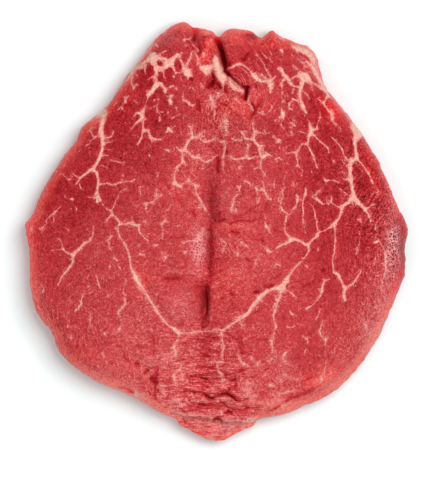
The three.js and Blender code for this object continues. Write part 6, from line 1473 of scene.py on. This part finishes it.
class FiletStage(bpy.types.PropertyGroup):
    """Table, lights and camera."""

    table_brightness: bpy.props.FloatProperty(
        name="Table brightness", description="How white the table is", default=0.82, min=0, max=1, subtype="FACTOR"
    )
    sky: bpy.props.FloatProperty(name="Sky", description="Strength of the even light", default=0.66)
    key: bpy.props.FloatProperty(name="Key light", description="Power of the large soft light", default=8.9, unit="POWER")
    fill: bpy.props.FloatProperty(name="Fill light", description="Power of the light opposite", default=1.3, unit="POWER")
    camera_height: bpy.props.FloatProperty(
        name="Camera height", description="Camera above the table", default=6.0, unit="LENGTH"
    )


FIELD_HEIGHT = 168.0  # millimetres that the picture shows from top to bottom
FIELD_CENTRE = (-0.35, -2.98)
SENSOR = 36.0


class FILET_OT_meat(bpy.types.Operator):
    """Build the opened steak"""

    bl_idname = "filet.meat"
    bl_label = "Opened steak"

    def execute(self, context):
        sizes = context.scene.filet_sizes
        GROUPS["Line Gap"] = line_gap_group()
        GROUPS["Fibre"] = fibre_group()
        GROUPS["Bundles"] = bundle_group()
        positions, quads, fan, marks = filet_surface(sizes)
        low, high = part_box("filet")
        positions = fit_to_box(positions, low, high)
        steak = bpy.data.objects.new("filet_meat", mesh_from("filet_meat", positions, quads, fan, marks))
        context.scene.collection.objects.link(steak)
        steak.data.materials.append(meat_material(context.scene.filet_colours))
        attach(steak, "root")
        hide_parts("filet")
        return {"FINISHED"}


class FILET_OT_stage(bpy.types.Operator):
    """Build the table, the lights and the camera"""

    bl_idname = "filet.stage"
    bl_label = "Table, lights and camera"

    def execute(self, context):
        scene = context.scene
        stage = scene.filet_stage
        side = 4.0
        mesh = bpy.data.meshes.new("table")
        mesh.from_pydata([(-side, -side, 0), (side, -side, 0), (side, side, 0), (-side, side, 0)], [], [(0, 1, 2, 3)])
        mesh.materials.append(table_material(stage.table_brightness))
        table = bpy.data.objects.new("table", mesh)
        scene.collection.objects.link(table)

        scene.world = studio_world(stage.sky)
        lights = (
            ("key_light", stage.key, (0.36, 0.21, 0.95), 0.6),
            ("fill_light", stage.fill, (-0.4, -0.3, 0.85), 0.7),
        )
        for name, power, place, width in lights:
            lamp = bpy.data.lights.new(name, "AREA")
            lamp.energy = power
            lamp.size = width
            holder = bpy.data.objects.new(name, lamp)
            scene.collection.objects.link(holder)
            holder.location = place
            holder.rotation_euler = (-holder.location).to_track_quat("-Z", "Y").to_euler()

        camera = bpy.data.cameras.new("camera")
        camera.sensor_width = SENSOR
        camera.lens = SENSOR * stage.camera_height / (FIELD_HEIGHT * MM)
        holder = bpy.data.objects.new("camera", camera)
        scene.collection.objects.link(holder)
        holder.location = (FIELD_CENTRE[0] * MM, FIELD_CENTRE[1] * MM, stage.camera_height)
        scene.camera = holder
        scene.view_settings.view_transform = "Standard"
        return {"FINISHED"}


class FILET_PT_panel(bpy.types.Panel):
    """Shows the settings and the two build buttons in the sidebar of the 3D view."""

    bl_label = "Filet"
    bl_space_type = "VIEW_3D"
    bl_region_type = "UI"
    bl_category = "Filet"

    def draw(self, context):
        for group in (context.scene.filet_sizes, context.scene.filet_colours, context.scene.filet_stage):
            for key in group.bl_rna.properties.keys():
                if key not in {"rna_type", "name"}:
                    self.layout.prop(group, key)
        for operator in (FILET_OT_meat, FILET_OT_stage):
            self.layout.operator(operator.bl_idname)


CLASSES = (FiletSizes, FiletColours, FiletStage, FILET_OT_meat, FILET_OT_stage, FILET_PT_panel)
GROUP_NAMES = {"filet_sizes": FiletSizes, "filet_colours": FiletColours, "filet_stage": FiletStage}


def register():
    """Makes the settings, operators and panel known to Blender."""
    for item in CLASSES:
        bpy.utils.register_class(item)
    for name, group in GROUP_NAMES.items():
        setattr(bpy.types.Scene, name, bpy.props.PointerProperty(type=group))


def unregister():
    """Takes them away again."""
    for name in GROUP_NAMES:
        delattr(bpy.types.Scene, name)
    for item in reversed(CLASSES):
        bpy.utils.unregister_class(item)


def main():
    """Builds everything."""
    register()
    bpy.ops.filet.meat()
    bpy.ops.filet.stage()


if __name__ == "__main__":
    main()
